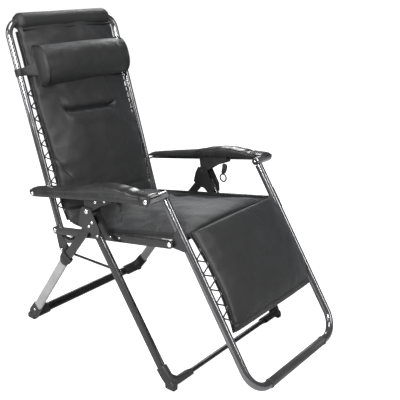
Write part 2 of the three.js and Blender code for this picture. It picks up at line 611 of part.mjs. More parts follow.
// ---- Padded sling ----------------------------------------------------------------------------------
addPart('back_pad', pad(onBack, 34, BACK_LENGTH - PAD_TOP_MARGIN, PAD_HALF, -22, 30, 26), 'fabric');
addPart('seat_pad', pad(onSeat, 44, ARM_LENGTH - 26, PAD_HALF, -32, 20, 22), 'fabric');
addPart('leg_pad', pad(onFootrest, 170, 468, PAD_HALF, -24, 26, 22), 'fabric');

const rollSection = roundSection(ROLL_RADIUS, 24);
rollSection.holes.push(new THREE.Path(roundSection(TUBE_BACK + GAP).getPoints()));
const ROLL_HALF = TUBE_X - BACK_BEND - 2;
addPart('top_sleeve', crossBar(-ROLL_HALF, ROLL_HALF, onBack(BACK_LENGTH), rollSection), 'fabric');

const PILLOW_RUN = BACK_LENGTH - 150;
const PILLOW_REACH = 66;            // half the pillow's length along the back
const PILLOW_STEPS = 16;
const pillowOutline = [];
for (let i = 0; i <= PILLOW_STEPS; i += 1) {
  const angle = Math.PI * i / PILLOW_STEPS;
  pillowOutline.push(onBack(PILLOW_RUN - PILLOW_REACH * Math.cos(angle),
    31 + PILLOW_RISE * Math.sin(angle)));
}
addPart('pillow', sidePlate(pillowOutline, 0, 2 * PILLOW_HALF), 'fabric');

// ---- Lacing ------------------------------------------------------------------------------------------
const CORD_RADIUS = 2;
for (const [name, side] of SIDES) {
  addPart(`back_lacing_${name}`, lacing(side, onBack, 60, 530, 10, TUBE_BACK, CORD_RADIUS), 'cord');
  addPart(`leg_lacing_${name}`,
    lacing(side, onFootrest, 204, 454, 5, TUBE_FOOT, CORD_RADIUS), 'cord');
}

// The side-plane points above are measured from a line just in front of the box's middle.
const BOX_MIDDLE_Y = 2.5;
chair.position.y = -BOX_MIDDLE_Y;

export default chair;
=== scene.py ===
"""Zero gravity recliner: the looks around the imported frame.

Side-plane positions are given in millimetres by a distance along a line of the frame (run), a
height over it (rise) and x, the distance across the chair; everything made from them is in metres.
"""
import json
import math

import bmesh
import bpy
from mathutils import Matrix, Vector, noise


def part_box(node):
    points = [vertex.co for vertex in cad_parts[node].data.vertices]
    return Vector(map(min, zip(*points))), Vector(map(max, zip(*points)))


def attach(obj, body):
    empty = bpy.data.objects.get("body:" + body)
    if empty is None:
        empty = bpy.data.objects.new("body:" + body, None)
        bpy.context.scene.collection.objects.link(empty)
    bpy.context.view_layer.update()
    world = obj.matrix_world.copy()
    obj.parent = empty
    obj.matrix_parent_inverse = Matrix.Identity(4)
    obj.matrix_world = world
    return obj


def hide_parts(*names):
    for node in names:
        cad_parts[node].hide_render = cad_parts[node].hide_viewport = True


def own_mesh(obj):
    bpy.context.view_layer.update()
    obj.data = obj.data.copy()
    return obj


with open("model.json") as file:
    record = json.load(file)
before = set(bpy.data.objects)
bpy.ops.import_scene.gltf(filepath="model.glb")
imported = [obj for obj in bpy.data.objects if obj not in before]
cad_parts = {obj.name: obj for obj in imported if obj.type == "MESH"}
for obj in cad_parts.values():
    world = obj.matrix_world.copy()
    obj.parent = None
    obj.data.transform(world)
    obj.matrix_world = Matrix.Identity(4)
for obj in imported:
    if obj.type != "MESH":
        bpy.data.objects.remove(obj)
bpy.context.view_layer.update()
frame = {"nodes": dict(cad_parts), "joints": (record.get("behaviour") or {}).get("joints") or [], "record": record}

MM = 0.001
SIDES = (("right", -1), ("left", 1))
X_AXIS = Vector((1, 0, 0))


# ---- Lines of the frame -------------------------------------------------------------------------
class Line:
    """A line in the chair's side plane, with a height direction square to it."""

    def __init__(self, origin, along, up):
        self.origin = origin
        self.along = along
        self.up = up

    def at(self, x, run, rise=0.0):
        return self.origin + (X_AXIS * x + self.along * run + self.up * rise) * MM

    def of(self, point):
        """(x, run, rise) of a point, in mm."""
        offset = point - self.origin
        return Vector((offset.x, offset.dot(self.along), offset.dot(self.up))) / MM


JOINT_AT = {j["name"]: Vector(j["pos_m"]) for j in frame["joints"] if j.get("pos_m")}
ARM_REAR = JOINT_AT["back_fold"]
SEAT_PIVOT = JOINT_AT["seat_fold"]
KNEE = JOINT_AT["foot_fold"]
LEG_HINGE = JOINT_AT["leg_fold"]
CLAMP_PIVOT = JOINT_AT["arms_fold"]
LEVER_PIVOT = JOINT_AT["lever_right_turn"]
BRACE_FRONT = JOINT_AT["brace_swing"]
ARM_FRONT = ARM_REAR + KNEE - SEAT_PIVOT

BACK_UP = (ARM_REAR - SEAT_PIVOT).normalized()
BACK = Line(SEAT_PIVOT, BACK_UP, Vector((0, -BACK_UP.z, BACK_UP.y)))
ARM_FORWARD = (KNEE - SEAT_PIVOT).normalized()
ARM_UP = Vector((0, ARM_FORWARD.z, -ARM_FORWARD.y))
ARM = Line(ARM_REAR, ARM_FORWARD, ARM_UP)
SEAT = Line(SEAT_PIVOT, ARM_FORWARD, ARM_UP)
FOOT_TUBE = 14.0
BOW_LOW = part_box("footrest_bow")[0]
FOOT_END = Vector((0, BOW_LOW[1] + FOOT_TUBE * MM, BOW_LOW[2] + FOOT_TUBE * MM))
FOOT_DOWN = (FOOT_END - ARM_FRONT).normalized()
FOOT = Line(ARM_FRONT, FOOT_DOWN, Vector((0, FOOT_DOWN.z, -FOOT_DOWN.y)))

ARM_LENGTH = (ARM_FRONT - ARM_REAR).length / MM
KNEE_RUN = FOOT.of(KNEE).y
FOOT_LENGTH = (FOOT_END - ARM_FRONT).length / MM
BACK_TUBE = 12.5
TUBE_X = 262.0
TOP_RUN = BACK.of(Vector(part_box("back_top_bow")[1]) - Vector((0, 1, 1)) * BACK_TUBE * MM).y
TAIL_RUN = BACK.of(Vector(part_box("back_lower_bow")[0]) + Vector((0, 1, 1)) * BACK_TUBE * MM).y


# ---- Materials ----------------------------------------------------------------------------------
class Shader:
    """A node material with one principled shader and short helpers for its nodes."""

    def __init__(self, name, roughness=0.5, metallic=0.0, **sockets):
        self.material = bpy.data.materials.new(name)
        self.material.use_nodes = True
        self.tree = self.material.node_tree
        self.main = self.tree.nodes["Principled BSDF"]
        self.main.inputs["Roughness"].default_value = roughness
        self.main.inputs["Metallic"].default_value = metallic
        for socket, value in sockets.items():
            self.main.inputs[socket.replace("_", " ")].default_value = value
        self.coordinates = self.tree.nodes.new("ShaderNodeTexCoord").outputs["Object"]

    def node(self, kind, links=(), **values):
        made = self.tree.nodes.new(kind)
        for key, value in values.items():
            setattr(made, key, value)
        for socket, source in links:
            target = made.inputs[socket]
            if isinstance(source, (int, float, tuple)):
                target.default_value = source
            else:
                self.tree.links.new(source, target)
        return made

    def noise(self, scale, detail=3.0, roughness=0.5):
        return self.node("ShaderNodeTexNoise", [
            ("Vector", self.coordinates), ("Scale", scale), ("Detail", detail),
            ("Roughness", roughness)]).outputs["Fac"]

    def ramp(self, source, stops):
        made = self.node("ShaderNodeValToRGB", [("Fac", source)])
        elements = made.color_ramp.elements
        for place, (position, color) in enumerate(stops):
            element = elements[place] if place < 2 else elements.new(position)
            element.position = position
            element.color = (*color, 1) if isinstance(color, tuple) else (color, color, color, 1)
        return made.outputs["Color"]

    def math(self, operation, a, b=0.0):
        return self.node("ShaderNodeMath", [(0, a), (1, b)], operation=operation).outputs[0]

    def bump(self, height, strength, distance):
        made = self.node("ShaderNodeBump", [
            ("Height", height), ("Strength", strength), ("Distance", distance)])
        self.tree.links.new(made.outputs["Normal"], self.main.inputs["Normal"])

    def link(self, source, socket):
        self.tree.links.new(source, self.main.inputs[socket])


def painted_steel(name, dark, light, roughness, grain=0.02, metallic=0.85):
    """Glossy powder coat: fine orange peel, slight colour drift and faint rubbed patches."""
    shader = Shader(name, roughness, metallic, Coat_Weight=0.3, Coat_Roughness=0.1)
    cloud = shader.noise(9.0, 4.0)
    shader.link(shader.ramp(cloud, [(0.3, dark), (0.72, light)]), "Base Color")
    fine = shader.noise(700.0, 2.0)
    scuff = shader.noise(38.0, 6.0, 0.65)
    level = shader.ramp(scuff, [(0.35, roughness * 0.85), (0.75, roughness * 1.35)])
    shader.link(level, "Roughness")
    shader.bump(fine, grain, 0.00005)
    return shader.material


def moulded_plastic(name, dark, light, roughness, grain=0.25, scale=900.0):
    """Moulded plastic with a spark-eroded grain and handled, slightly shinier patches."""
    shader = Shader(name, roughness, 0.0, Specular_IOR_Level=0.26)
    cloud = shader.noise(14.0, 4.0)
    shader.link(shader.ramp(cloud, [(0.3, dark), (0.7, light)]), "Base Color")
    wear = shader.noise(30.0, 5.0, 0.6)
    level = shader.ramp(wear, [(0.3, roughness * 0.8), (0.7, roughness * 1.2)])
    shader.link(level, "Roughness")
    shader.bump(shader.noise(scale, 2.0), grain, 0.0003)
    return shader.material


def bright_steel(name, dark, light, roughness=0.16):
    shader = Shader(name, roughness, 1.0)
    shader.link(shader.ramp(shader.noise(60.0, 4.0), [(0.3, dark), (0.7, light)]), "Base Color")
    level = shader.ramp(shader.noise(220.0, 3.0), [(0.3, roughness * 0.8), (0.7, roughness * 1.5)])
    shader.link(level, "Roughness")
    shader.bump(shader.noise(400.0, 2.0), 0.08, 0.0002)
    return shader.material


WEAVE_PITCH = 0.0022


def woven(name, dark, light, line, pitch=WEAVE_PITCH, sheen=0.06, strength=0.55):
    """Woven polyester mesh: warp and weft as two crossed waves in the plane of the pad."""
    shader = Shader(name, 0.5, 0.0, Sheen_Weight=sheen, Sheen_Roughness=0.4,
                    Specular_IOR_Level=0.27)
    shader.main.inputs["Sheen Tint"].default_value = (0.8, 0.84, 0.9, 1)
    split = shader.node("ShaderNodeSeparateXYZ", [("Vector", shader.coordinates)])
    along = shader.math("ADD", shader.math("MULTIPLY", split.outputs["Y"], line.along.y),
                        shader.math("MULTIPLY", split.outputs["Z"], line.along.z))
    turn = 2 * math.pi / pitch
    warp = shader.math("SINE", shader.math("MULTIPLY", split.outputs["X"], turn))
    weft = shader.math("SINE", shader.math("MULTIPLY", along, turn))
    cross = shader.math("MULTIPLY", warp, weft)
    threads = shader.math("MULTIPLY_ADD", cross, 0.5)
    threads.node.inputs[2].default_value = 0.5
    cloud = shader.noise(11.0, 5.0, 0.6)
    mixed = shader.math("ADD", shader.math("MULTIPLY", threads, 0.45),
                        shader.math("MULTIPLY", cloud, 0.55))
    shader.link(shader.ramp(mixed, [(0.25, dark), (0.75, light)]), "Base Color")
    fibre = shader.noise(1500.0, 2.0)
    height = shader.math("ADD", threads, shader.math("MULTIPLY", fibre, 0.35))
    shader.bump(height, strength, 0.0006)
    return shader.material


def grey(level, tint=1.04):
    return (level, level, level * tint)


MATERIALS = {
    "tube": painted_steel("Gunmetal_tube", grey(0.10), grey(0.15), 0.16),
    "silver": painted_steel("Light_tube", grey(0.20, 1.02), grey(0.26, 1.02), 0.42, 0.06, 0.3),
    "leg": painted_steel("Leg_paint", grey(0.012), grey(0.02), 0.24, 0.03, 0.5),
    "plate": painted_steel("Plate_paint", grey(0.007), grey(0.013), 0.36, 0.1, 0.3),
    "steel": bright_steel("Rivet_steel", grey(0.62), grey(0.85, 1.0)),
    "brushed": bright_steel("Roller_steel", grey(0.30), grey(0.42), 0.3),
    "plastic": moulded_plastic("Black_plastic", grey(0.009), grey(0.016), 0.42),
    "arm_top": moulded_plastic("Armrest_top", grey(0.009), grey(0.017), 0.3, 0.3, 650.0),
    "foot": moulded_plastic("Foot_plastic", grey(0.010), grey(0.018), 0.4),
    "grip": moulded_plastic("Bar_sleeve", grey(0.02), grey(0.032), 0.36),
    "back_cloth": woven("Back_cloth", grey(0.005), grey(0.012), BACK),
    "seat_cloth": woven("Seat_cloth", grey(0.005), grey(0.012), SEAT),
    "leg_cloth": woven("Leg_cloth", grey(0.005), grey(0.012), FOOT),
    "pillow_cloth": woven("Pillow_cloth", grey(0.005), grey(0.012), BACK),
    "binding": woven("Binding_tape", grey(0.003), grey(0.008), BACK, 0.0012, 0.03, 0.4),
    "cord": woven("Elastic_cord", grey(0.006), grey(0.018), BACK, 0.0016, 0.05, 0.7),
}


# ---- Mesh tools ---------------------------------------------------------------------------------
def mesh_object(name, verts, faces):
    """A new object in the scene with all its faces turned outward."""
    mesh = bpy.data.meshes.new(name)
    mesh.from_pydata([tuple(v) for v in verts], [], faces)
    mesh.update()
    made = bpy.data.objects.new(name, mesh)
    bpy.context.scene.collection.objects.link(made)
    work = bmesh.new()
    work.from_mesh(mesh)
    bmesh.ops.recalc_face_normals(work, faces=work.faces)
    work.to_mesh(mesh)
    work.free()
    return made


def paint(made, look):
    made.data.materials.clear()
    made.data.materials.append(MATERIALS[look])


def piece(name, form, look, body, stands_for=(), sharp=38):
    """A finished object that rides on a body, smooth apart from edges sharper than sharp.

    form is a pair of vertices and faces, as the functions below return it."""
    made = mesh_object(name, *form)
    made.data.shade_smooth()
    made.data.set_sharp_from_angle(angle=math.radians(sharp))
    paint(made, look)
    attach(made, body)
    if stands_for:
        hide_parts(*stands_for)
    return made


def apply_modifiers(made):
    graph = bpy.context.evaluated_depsgraph_get()
    fresh = bpy.data.meshes.new_from_object(made.evaluated_get(graph))
    old = made.data
    made.modifiers.clear()
    made.data = fresh
    bpy.data.meshes.remove(old)
    return made


def voxel_remesh(made, size):
    remesh = made.modifiers.new("Even", "REMESH")
    remesh.mode = "VOXEL"
    remesh.voxel_size = size


def corners(node):
    """The low and the high corner of a node's box."""
    return [Vector(corner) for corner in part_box(node)]


def circle(radius, sides=28):
    return [(radius * math.cos(2 * math.pi * i / sides), radius * math.sin(2 * math.pi * i / sides))
            for i in range(sides)]


def oval(width, thickness, steps=9):
    """A flattened tube: straight flat sides and round edges; width first."""
    half = (width - thickness) / 2
    points = []
    for side in (1, -1):
        for i in range(steps + 1):
            angle = -math.pi / 2 + math.pi * i / steps
            points.append((side * (half + thickness / 2 * math.cos(angle)),
                           side * thickness / 2 * math.sin(angle)))
    return points


def rounded_box(width, thickness, corner, steps=4):
    points = []
    for quarter in range(4):
        cx = (width / 2 - corner) * (1 if quarter in (0, 3) else -1)
        cy = (thickness / 2 - corner) * (1 if quarter in (0, 1) else -1)
        for i in range(steps + 1):
            angle = math.pi / 2 * (quarter + i / steps)
            points.append((cx + corner * math.cos(angle), cy + corner * math.sin(angle)))
    return points


def swept(stations, section, normal, closed=False):
    """Vertices and faces of a section carried along stations; its second axis follows normal.

    section is a list of points in mm, or a function of the station's number that returns one."""
    count = len(stations)
    verts = []
    for i, centre in enumerate(stations):
        before = stations[(i - 1) % count] if closed or i else centre
        after = stations[(i + 1) % count] if closed or i < count - 1 else centre
        tangent = (after - before).normalized()
        normal_here = normal(i) if callable(normal) else normal
        across = tangent.cross(normal_here).normalized()
        level = across.cross(tangent).normalized()
        shape = section(i) if callable(section) else section
        verts += [centre + (across * u + level * v) * MM for u, v in shape]
    ring = len(verts) // count
    faces = []
    for i in range(count if closed else count - 1):
        start, following = i * ring, (i + 1) % count * ring
        for j in range(ring):
            k = (j + 1) % ring
            faces.append((start + j, start + k, following + k, following + j))
    if not closed:
        faces.append(tuple(range(ring)))
        faces.append(tuple(range((count - 1) * ring, count * ring)))
    return verts, faces


def loft_faces(total, count):
    """Faces of a closed form whose total vertices are count equal rings, with both ends capped."""
    ring = total // count
    faces = [tuple(range(ring)), tuple(range(total - ring, total))]
    for i in range(count - 1):
        for j in range(ring):
            k = (j + 1) % ring
            faces.append((i * ring + j, i * ring + k, (i + 1) * ring + k, (i + 1) * ring + j))
    return faces


def rounded_route(bends, radii, steps=12, closed=False):
    """A polyline whose bends are replaced by arcs; radii in mm, one for each bend."""
    count = len(bends)
    route = []
    for i, (corner, radius) in enumerate(zip(bends, radii)):
        if not closed and i in (0, count - 1):
            route.append(corner)
            continue
        back = (bends[i - 1] - corner).normalized()
        onward = (bends[(i + 1) % count] - corner).normalized()
        half_angle = back.angle(onward) / 2
        reach = radius * MM / math.tan(half_angle)
        centre = corner + (back + onward).normalized() * (radius * MM / math.sin(half_angle))
        first = corner + back * reach - centre
        last = corner + onward * reach - centre
        route += [centre + arc_between(first, last, k / steps) for k in range(steps + 1)]
    return route


def arc_between(first, last, share):
    """The vector a share of the way round from first to last, at the same length."""
    angle = first.angle(last)
    if angle < 1e-6:
        return first.copy()
    weight = math.sin(angle)
    return (first * math.sin((1 - share) * angle) + last * math.sin(share * angle)) / weight


def joined(parts):
    verts, faces = [], []
    for part_verts, part_faces in parts:
        base = len(verts)
        verts += part_verts
        faces += [tuple(base + i for i in face) for face in part_faces]
    return verts, faces


def turned(profile, centre, sides=32):
    """A lathe along x: profile points are (x in mm, radius in mm), on the axis at both ends."""
    verts, faces = [], []
    rings = []
    for x, radius in profile:
        if radius < 1e-6:
            rings.append([len(verts)])
            verts.append(Vector((x * MM, centre.y, centre.z)))
            continue
        rings.append(list(range(len(verts), len(verts) + sides)))
        for i in range(sides):
            angle = 2 * math.pi * i / sides
            verts.append(Vector((x * MM, centre.y + radius * MM * math.cos(angle),
                                 centre.z + radius * MM * math.sin(angle))))
    for one, two in zip(rings, rings[1:]):
        for j in range(sides):
            k = (j + 1) % sides
            if len(one) == 1:
                faces.append((one[0], two[j], two[k]))
            elif len(two) == 1:
                faces.append((one[j], one[k], two[0]))
            else:
                faces.append((one[j], one[k], two[k], two[j]))
    return verts, faces


def dome(x, side, centre, radius, height, stem=1.0):
    """A domed rivet head standing out from x, with a small shoulder."""
    profile = [(x - side * stem, 0), (x - side * stem, radius), (x + side * 0.15 * height, radius)]
    for i in range(1, 7):
        angle = math.pi / 2 * i / 6
        profile.append((x + side * height * (0.15 + 0.85 * math.sin(angle)),
                        max(0.0, radius * math.cos(angle)) if i < 6 else 0.0))
    return turned(profile, centre)


def shank(x_from, x_to, centre, radius=4.0):
    """The plain round part of a rivet or stud between two x values in mm."""
    return turned([(x_from, 0), (x_from, radius), (x_to, radius), (x_to, 0)], centre, 20)


def slab(outline, x_from, x_to, bevel=0.8):
    """A plate between two x values in mm, from an outline of side-plane points, edges rounded."""
    count = len(outline)
    verts = [Vector((x * MM, p.y, p.z)) for x in (x_from, x_to) for p in outline]
    faces = [tuple(range(count)), tuple(range(2 * count - 1, count - 1, -1))]
    faces += [(i, (i + 1) % count, count + (i + 1) % count, count + i) for i in range(count)]
    work = bmesh.new()
    made = [work.verts.new(v) for v in verts]
    for face in faces:
        work.faces.new([made[i] for i in face])
    rims = [e for e in work.edges if abs(e.verts[0].co.x - e.verts[1].co.x) < 1e-7]
    bmesh.ops.bevel(work, geom=rims, offset=bevel * MM, segments=3, profile=0.6, affect="EDGES")
    bmesh.ops.recalc_face_normals(work, faces=work.faces)
    work.verts.index_update()
    result = [v.co.copy() for v in work.verts], [tuple(v.index for v in f.verts) for f in work.faces]
    work.free()
    return result


def catmull_span(a, b, c, d, steps):
    """Points from b up to but not including c, on the Catmull-Rom curve through all four."""
    return [0.5 * ((2 * b) + (c - a) * t + (2 * a - 5 * b + 4 * c - d) * t * t
                   + (3 * b - a - 3 * c + d) * t ** 3) for t in (k / steps for k in range(steps))]


def smooth_outline(points, steps):
    """A closed outline through side-plane points, rounded by a Catmull-Rom curve."""
    count = len(points)
    result = []
    for i in range(count):
        result += catmull_span(*(points[(i + k) % count] for k in (-1, 0, 1, 2)), steps)
    return result


def interpolate(table, place):
    """Smooth reading of a table of (place, value) pairs."""
    for (p0, v0), (p1, v1) in zip(table, table[1:]):
        if place <= p1:
            t = max(0.0, (place - p0) / (p1 - p0))
            t = t * t * (3 - 2 * t)
            return v0 + (v1 - v0) * t
    return table[-1][1]


def bell(distance, width):
    return math.exp(-(distance / width) ** 2)


# ---- Back frame, seat rails and footrest frame ---------------------------------------------------
def link_outline(first, last, radius, steps=12):
    """A bar's outline in the side plane, with half-round ends, radius in mm."""
    onward = (last - first).normalized()
    square = Vector((0, -onward.z, onward.y))
    outline = []
    for centre, sign in ((last, 1), (first, -1)):
        for i in range(steps + 1):
            angle = -math.pi / 2 + math.pi * i / steps
            outline.append(centre + (onward * math.cos(angle) + square * math.sin(angle))
                           * radius * MM * sign)
    return outline


def back_frame():
    outline = [BACK.at(-TUBE_X, TAIL_RUN), BACK.at(-TUBE_X, TOP_RUN),
               BACK.at(TUBE_X, TOP_RUN), BACK.at(TUBE_X, TAIL_RUN)]
    route = rounded_route(outline, (34, 52, 52, 34), closed=True)
    piece("back_frame", swept(route, circle(BACK_TUBE), BACK.up, closed=True), "tube", "back",
          ("back_tube_right", "back_tube_left", "back_top_bow", "back_lower_bow"))


def footrest_frame():
    start = FOOT_TUBE + 1
    outline = [FOOT.at(-TUBE_X, start), FOOT.at(-TUBE_X, FOOT_LENGTH),
               FOOT.at(TUBE_X, FOOT_LENGTH), FOOT.at(TUBE_X, start)]
    route = rounded_route(outline, (0, 80, 80, 0), 16)
    piece("footrest_frame", swept(route, circle(FOOT_TUBE, 32), FOOT.up), "tube", "footrest",
          ("footrest_tube_right", "footrest_tube_left", "footrest_bow"))
    grip = [(-180, 0), (-180, 15.2), (-179, 17), (-174, 17), (-172, 15.6), (157, 15.6), (159, 17),
            (164, 17), (165, 15.2), (165, 0)]
    piece("foot_bar_sleeve", turned(grip, FOOT.at(0, FOOT_LENGTH)), "grip", "footrest")


def seat_rails():
    half_width = 14
    inner, outer = 281, 289
    pin_end = 248
    for name, side in SIDES:
        outline = link_outline(SEAT_PIVOT, KNEE, half_width)
        piece(f"seat_rail_tube_{name}", slab(outline, side * inner, side * outer, 2.6), "leg", "seat",
              (f"seat_rail_{name}",))
        pins = [(KNEE, "knee_pins", f"knee_pin_{name}"),
                (SEAT_PIVOT, "seat_pins", f"seat_pivot_pin_{name}")]
        for centre, body, node in pins:
            form = joined([dome(side * (outer - 0.4), side, centre, 8.5, 4.2),
                           shank(side * (inner - 1), side * pin_end, centre)])
            piece(f"{node}_head", form, "steel", body, (node,))
        heads = [dome(side * (outer - 0.2), side, SEAT.at(0, run, 2), 4.2, 2.2)
                 for run in (300, 345)]
        piece(f"rail_rivets_{name}", joined(heads), "steel", "seat")


# ---- Legs, floor bars and feet -------------------------------------------------------------------
def bar_ends(node, width, lean):
    """Axis ends of a square-cut straight bar, low end first; lean is its sign of dy against dz."""
    low, high = corners(node)
    size = (high - low) / MM
    along = Vector((0, size.y, size.z)).normalized()
    for _ in range(8):
        along = Vector((0, size.y - width * along.z, size.z - width * along.y)).normalized()
    half_y, half_z = width / 2 * along.z * MM, width / 2 * along.y * MM
    foot_y, top_y = low.y + half_y, high.y - half_y
    if lean < 0:
        foot_y, top_y = high.y - half_y, low.y + half_y
    return Vector((0, foot_y, low.z + half_z)), Vector((0, top_y, high.z - half_z))


FRONT_FOOT, FRONT_TOP = bar_ends("front_leg_right", 30, 1)
REAR_FOOT, REAR_BREAK = bar_ends("rear_leg_tube_right", 34, -1)
FRONT_UP = (FRONT_TOP - FRONT_FOOT).normalized()
REAR_UP = (REAR_BREAK - REAR_FOOT).normalized()
FRONT_X, REAR_X = 321.0, 302.5


def side_centre(low, high):
    """The middle between two points, in the side plane."""
    return Vector((0, (low.y + high.y) / 2, (low.z + high.z) / 2))


def floor_bar(name, upward, width, thickness, body):
    """The bar keeps its wide side square to the leg, as a bent oval tube does."""
    half_length = 258
    centre = side_centre(*corners(name))
    ends = [centre + X_AXIS * x * MM for x in (-half_length, half_length)]
    square = upward.cross(X_AXIS).normalized()
    form = swept(ends, [(v, u) for u, v in oval(width, thickness)], square)
    piece(f"{name}_tube", form, "leg", body, (name,))


def foot(kind, name, side, low_end, upward, leg_x, bar, size, body):
    """A moulded elbow from the leg's sleeve round to the floor bar's socket, with a flat sole."""
    width, thickness = size
    corner = Vector((side * leg_x * MM, bar.y, bar.z))
    mouth = low_end + upward * 56 * MM + X_AXIS * side * leg_x * MM
    inner = Vector((side * 226 * MM, bar.y, bar.z))
    route = rounded_route([mouth, corner, inner], (0, 24, 0), 10)
    square = upward.cross(X_AXIS).normalized()
    shape = rounded_box(thickness, width, 6)
    elbow = swept(route, shape, square)
    heel_outline = [corner + Vector((0, y * MM, z * MM)) for y, z in
                    ((-21, -17), (21, -17), (19, 2), (8, 12), (-8, 12), (-19, 2))]
    heel = slab([Vector((0, p.y, p.z)) for p in heel_outline],
                side * (leg_x - thickness / 2), side * (leg_x + thickness / 2), 2.5)
    web_line = [mouth - upward * 26 * MM, Vector((side * (leg_x - 20) * MM, bar.y, bar.z + 0.013)),
                inner + X_AXIS * side * 34 * MM]
    web = swept(rounded_route(web_line, (0, 26, 0), 8), rounded_box(12, width * 0.62, 4), square)
    made = piece(f"{kind}_foot_moulding_{name}", joined([elbow, heel, web]), "foot", body,
                 (f"{kind}_foot_{name}",))
    voxel_remesh(made, 0.0021)
    smooth = made.modifiers.new("Soften", "SMOOTH")
    smooth.iterations = 7
    apply_modifiers(made)
    for vertex in made.data.vertices:
        if vertex.co.z < 0.0018:
            vertex.co.z = 0.0
    made.data.shade_smooth()
    paint(made, "foot")


def legs():
    front_bar = side_centre(*corners("front_floor_bar"))
    rear_bar = side_centre(*corners("rear_floor_bar"))
    floor_bar("front_floor_bar", FRONT_UP, 32, 15, "base")
    floor_bar("rear_floor_bar", REAR_UP, 36, 15, "rear_legs")
    for name, side in SIDES:
        form = swept([v + X_AXIS * side * FRONT_X * MM for v in (FRONT_FOOT, FRONT_TOP)],
                     rounded_box(16, 34, 6.5), FRONT_UP.cross(X_AXIS))
        piece(f"front_leg_tube_{name}", form, "leg", "base",
              (f"front_leg_{name}",))
        foot("front", name, side, FRONT_FOOT, FRONT_UP, FRONT_X, front_bar, (42, 23), "base")
        foot("rear", name, side, REAR_FOOT, REAR_UP, REAR_X, rear_bar, (44, 21), "rear_legs")
        form = swept([v + X_AXIS * side * REAR_X * MM for v in (REAR_FOOT, REAR_BREAK)],
                     rounded_box(14.6, 37, 6), REAR_UP.cross(X_AXIS))
        piece(f"rear_leg_lower_{name}", form, "silver", "rear_legs",
              (f"rear_leg_tube_{name}",))
        outline = link_outline(REAR_BREAK - REAR_UP * 6 * MM, LEG_HINGE + REAR_UP * 2 * MM, 16)
        form = slab(outline, side * (REAR_X - 4.6), side * (REAR_X + 4.6), 2.2)
        piece(f"rear_leg_upper_{name}", form, "leg", "rear_legs",
              (f"rear_leg_bar_{name}",))
        sleeve(name, side)
        foot_bolts(name, side)


def sleeve(name, side):
    """The black moulded sleeve at the top of the rear leg's lower tube, with a pointed lower lip."""
    centre = side_centre(*corners(f"leg_sleeve_{name}"))
    square = Vector((0, -REAR_UP.z, REAR_UP.y))

    def around(outline):
        return [centre + (square * u + REAR_UP * v) * MM for u, v in outline]

    lipped = around([(-21, 21), (21, 21), (22, 8), (21, -10), (10, -20), (0, -24), (-10, -20),
                     (-21, -10), (-22, 8)])
    shell = slab(smooth_outline(lipped, 4), side * (REAR_X - 9.2), side * (REAR_X + 9.2), 2.4)
    collar = slab(around([(-23, 22), (23, 22), (23, 15), (-23, 15)]),
                  side * (REAR_X - 10), side * (REAR_X + 10), 1.8)
    piece(f"sleeve_moulding_{name}", joined([shell, collar]), "plastic", "rear_legs",
          (f"leg_sleeve_{name}",))


def foot_bolts(name, side):
    """Domed bolt heads that hold the feet to their tubes."""
    head = dome(side * (REAR_X + 10.3), side, REAR_FOOT + REAR_UP * 36 * MM, 5.2, 2.8)
    piece(f"rear_foot_bolts_{name}", head, "steel", "rear_legs")
    head = dome(side * (FRONT_X + 11.3), side, FRONT_FOOT + FRONT_UP * 38 * MM, 4.2, 2.2)
    piece(f"front_foot_bolts_{name}", head, "plate", "base")


# ---- Brace links, brackets and clamps ------------------------------------------------------------
LINK_EYE = 10.0
LINK_X = 291.8
ROD_RADIUS = 4.6
TOE_RADIUS, TOE_LENGTH = 6.6, 26


def brace_links():
    """A round rod with a flattened toe and an eye at each end, both eyes at one height."""
    for name, side in SIDES:
        middle = side * LINK_X
        rear = Vector((0, corners(f"brace_link_{name}")[1].y - LINK_EYE * MM, BRACE_FRONT.z))
        onward = (rear - BRACE_FRONT).normalized()
        offset = X_AXIS * middle * MM
        rod = swept([BRACE_FRONT + onward * 12 * MM + offset, rear - onward * 12 * MM + offset],
                    circle(ROD_RADIUS, 18), X_AXIS)
        eyes = [slab(link_outline(centre, centre + onward * 0.1 * MM, 9.6),
                     middle - 1.9, middle + 1.9, 0.7) for centre in (BRACE_FRONT, rear)]
        toes = [slab(link_outline(start, start + onward * TOE_LENGTH * MM, TOE_RADIUS),
                     middle - 1.7, middle + 1.7, 0.6)
                for start in (BRACE_FRONT, rear - onward * TOE_LENGTH * MM)]
        piece(f"brace_rod_{name}", joined([rod, *toes, *eyes]), "leg", "brace_links",
              (f"brace_link_{name}",))
        heads = [dome(middle + side * 1.9, side, centre, 6.4, 3.6) for centre in (BRACE_FRONT, rear)]
        piece(f"brace_rivets_{name}", joined(heads), "steel", "brace_links")


def brackets():
    """Rivets on the inverted-V plates; the plates themselves are the frame's own."""
    rivets = ((-35, 12), (-19, -5), (-59, -30))
    for name, side in SIDES:
        for node in (f"bracket_outer_{name}", f"bracket_inner_{name}"):
            paint(frame["nodes"][node], "plate")
        outer = side * max(abs(corner.x) for corner in corners(f"bracket_outer_{name}")) / MM
        spots = [LEG_HINGE + Vector((0, y * MM, z * MM)) for y, z in rivets]
        heads = [dome(outer, side, spot, 5.2, 2.8) for spot in spots]
        piece(f"bracket_rivets_{name}", joined(heads), "steel", "base")
        head = dome(outer + side * 0.4, side, CLAMP_PIVOT, 8.6, 3.8)
        piece(f"clamp_pivot_head_{name}", joined([head, shank(side * 292, outer, CLAMP_PIVOT)]),
              "steel", "clamps", (f"clamp_pin_{name}",))


